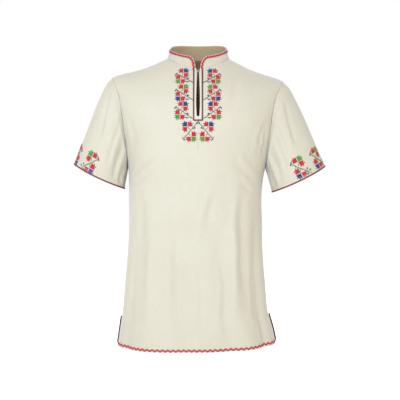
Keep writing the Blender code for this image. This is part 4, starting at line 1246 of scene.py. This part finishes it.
def thread(name, light, deep):
    """Stranded cotton thread: fine plies, and a tone that changes from stitch to stitch."""
    made = Nodes(name)
    tone = made.add("ShaderNodeAttribute", attribute_name="tone").outputs["Fac"]
    amount = made.math("ADD", made.scaled(made.noise(420.0), 0.7), made.scaled(tone, 0.3))
    place = made.add("ShaderNodeTexCoord").outputs["Object"]
    inputs = {"Vector": place, "Scale": 70.0, "Distortion": 3.0, "Detail": 1.0}
    plies = made.add("ShaderNodeTexWave", inputs, wave_type="BANDS", bands_direction="DIAGONAL")
    return made.finish(Base_Color=made.mix(amount, deep, light), Roughness=0.6, Sheen_Weight=0.02,
                       Normal=made.bump(plies.outputs["Fac"], 0.5))


def wire():
    """Plated wire, dulled unevenly by wear."""
    made = Nodes("hook_wire_worn")
    wear = made.noise(600.0, 3.0)
    return made.finish(Base_Color=made.mix(wear, (0.52, 0.48, 0.42), (0.86, 0.84, 0.80)), Metallic=1.0,
                       Roughness=made.scaled(wear, 0.25, 0.22))


# Each thread's material name and its lightest and deepest colour
THREADS = {
    "red_trim": ("red_crochet_cotton", (0.38, 0.003, 0.004), (0.29, 0.002, 0.003)),
    # The vents' zigzag is the red trim painted much darker: painted shade for its side-facing place
    "painted_shade_red": ("red_crochet_painted_shade", (0.09, 0.004, 0.003), (0.045, 0.002, 0.002)),
    "dark_red": ("dark_red_braid_cotton", (0.21, 0.010, 0.006), (0.10, 0.004, 0.003)),
    "maroon": ("maroon_braid_cotton", (0.14, 0.012, 0.006), (0.065, 0.006, 0.003)),
    "red": ("stitch_red", (0.40, 0.005, 0.004), (0.32, 0.003, 0.003)),
    "blue": ("stitch_blue", (0.012, 0.018, 0.12), (0.006, 0.008, 0.07)),
    "green": ("stitch_green", (0.09, 0.205, 0.022), (0.05, 0.135, 0.012)),
    "yellow": ("stitch_yellow", (0.50, 0.26, 0.03), (0.40, 0.19, 0.018)),
    "stem": ("stitch_dark_green", (0.018, 0.045, 0.018), (0.009, 0.026, 0.010)),
    "leaf": ("stitch_leaf_green", (0.03, 0.07, 0.03), (0.015, 0.04, 0.015)),
    "olive": ("stitch_olive", (0.17, 0.14, 0.028), (0.10, 0.09, 0.018)),
}


def finishes():
    made = {
        "cloth": cotton("cream_cotton_weave", (0.445, 0.38, 0.245), (0.405, 0.335, 0.205)),
        # Inner side of the panels and sleeves: dark brown painted shade for the shadow inside the hollow
        # garment
        "inside": cotton("cream_cotton_inside_painted_shade", (0.24, 0.105, 0.024), (0.19, 0.078, 0.017)),
        # Inner side of the collar: tan painted shade for the shadow inside the standing collar
        "collar_inside_painted_shade": cotton("collar_cotton_inside_painted_shade", (0.34, 0.225, 0.10), (0.285, 0.183, 0.078)),
        "band": cotton("band_cotton_weave", (0.475, 0.405, 0.275), (0.435, 0.365, 0.24), weave=0.0009),
        "wire": wire(),
    }
    made.update({key: thread(*colours) for key, colours in THREADS.items()})
    return made


# Stage

FLOOR_Z = -0.90
FLOOR_RADIUS = 12.0
LIGHT_SIZE = 1.0
LIGHT_TARGET = (0.0, 0.0, -0.35)
CAMERA_PLACE = (0.0039, -2.0, -0.3614)
CAMERA_LENS = 69.2


def make_floor():
    bpy.ops.mesh.primitive_circle_add(vertices=96, radius=FLOOR_RADIUS, fill_type="NGON",
                                      location=(0.0, 0.0, FLOOR_Z))
    floor = bpy.context.active_object
    floor.name = "floor"
    made = Nodes("pale_floor")
    tone = made.mix(made.noise(3.0), (0.80, 0.79, 0.77), (0.83, 0.82, 0.80))
    floor.data.materials.append(made.finish(Base_Color=tone, Roughness=0.9, Emission_Strength=0.30,
                                            Emission_Color=(1.0, 1.0, 1.0, 1.0)))


def add_area(name, location, power, colour):
    light = bpy.data.lights.new(name, "AREA")
    light.shape = "DISK"
    light.size = LIGHT_SIZE
    light.energy = power
    light.color = colour
    made = bpy.data.objects.new(name, light)
    made.location = location
    aim = Vector(LIGHT_TARGET) - Vector(location)
    made.rotation_euler = aim.to_track_quat("-Z", "Y").to_euler()
    bpy.context.scene.collection.objects.link(made)


def make_light():
    world = bpy.data.worlds.new("studio")
    world.use_nodes = True
    background = world.node_tree.nodes["Background"]
    background.inputs["Color"].default_value = (1.0, 1.0, 1.0, 1.0)
    background.inputs["Strength"].default_value = 1.0
    bpy.context.scene.world = world
    add_area("key", (-0.50, -2.5, 0.30), 105.0, (0.46, 0.615, 1.0))
    add_area("back", (0.3, 2.6, 0.40), 62.0, (0.70, 0.80, 1.0))
    bpy.context.scene.view_settings.view_transform = "Standard"


def make_camera():
    lens = bpy.data.cameras.new("camera")
    lens.lens = CAMERA_LENS
    camera = bpy.data.objects.new("camera", lens)
    camera.location = CAMERA_PLACE
    camera.rotation_euler = (math.pi / 2.0, 0.0, 0.0)
    bpy.context.scene.collection.objects.link(camera)
    bpy.context.scene.camera = camera


def dress(made, nodes):
    """Tie a piece to the part: it rides on the one body and stands for its solids."""
    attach(made, "root")
    if nodes:
        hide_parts(*nodes)
    return made


def dress_cloth(look, trims):
    """The large pieces of cloth, with the braids of the cuffs."""
    # The inner sides take the inside colours, which paint the shade inside the garment
    cloth = {face: dress(make_panel(face, look["cloth"], look["inside"]), [face])
             for face in ("front", "back")}
    # The collar's inner side takes a tan colour that paints the shade inside it
    cloth["collar"] = dress(make_collar(look["cloth"], look["collar_inside_painted_shade"]), ["collar"])
    for sleeve in SLEEVES:
        made = make_sleeve(sleeve, look["cloth"], look["inside"])
        cloth[sleeve.name] = dress(made, ["sleeve_" + sleeve.name])
        made = make_cuff_braid(sleeve, look["dark_red"])
        trims[sleeve.name].append(dress(made, ["cuff_braid_" + sleeve.name]))
    return cloth


def dress_trims(look, trims):
    """The zigzags with their cream edging."""
    made = make_collar_zigzag(look["red_trim"], look["band"])
    trims["collar"].append(dress(made, ["collar_trim"]))
    trims["collar"].append(dress(bpy.data.objects["collar_scallop"], []))
    for face in ("front", "back"):
        made = make_hem_zigzag(face, look["red_trim"], look["band"])
        trims[face].append(dress(made, ["hem_trim_" + face]))
        trims[face].append(dress(bpy.data.objects["hem_scallop_" + face], []))
        for side, word in ((-1.0, "left"), (1.0, "right")):
            # The vent zigzags take the red trim's colour darkened as painted shade
            made = make_vent_zigzag(face, side, look["painted_shade_red"])
            trims[face].append(dress(made, ["vent_trim_%s_%s" % (face, word)]))


def build():
    look = finishes()
    make_floor()
    make_light()
    make_camera()
    trims = {"front": [], "back": [], "collar": [], "left": [], "right": []}
    cloth = dress_cloth(look, trims)
    trims["front"].append(dress(make_placket_braid(look["maroon"]), ["placket_braid"]))
    band = dress(make_placket_band(look["band"]), ["placket"])
    dress_trims(look, trims)
    for place, pieces in make_embroidery(look).items():
        trims[place] += [dress(piece, []) for piece in pieces]
    for name in ("neck_hook", "neck_eye"):
        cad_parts[name].data.materials.clear()
        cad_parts[name].data.materials.append(look["wire"])


build()
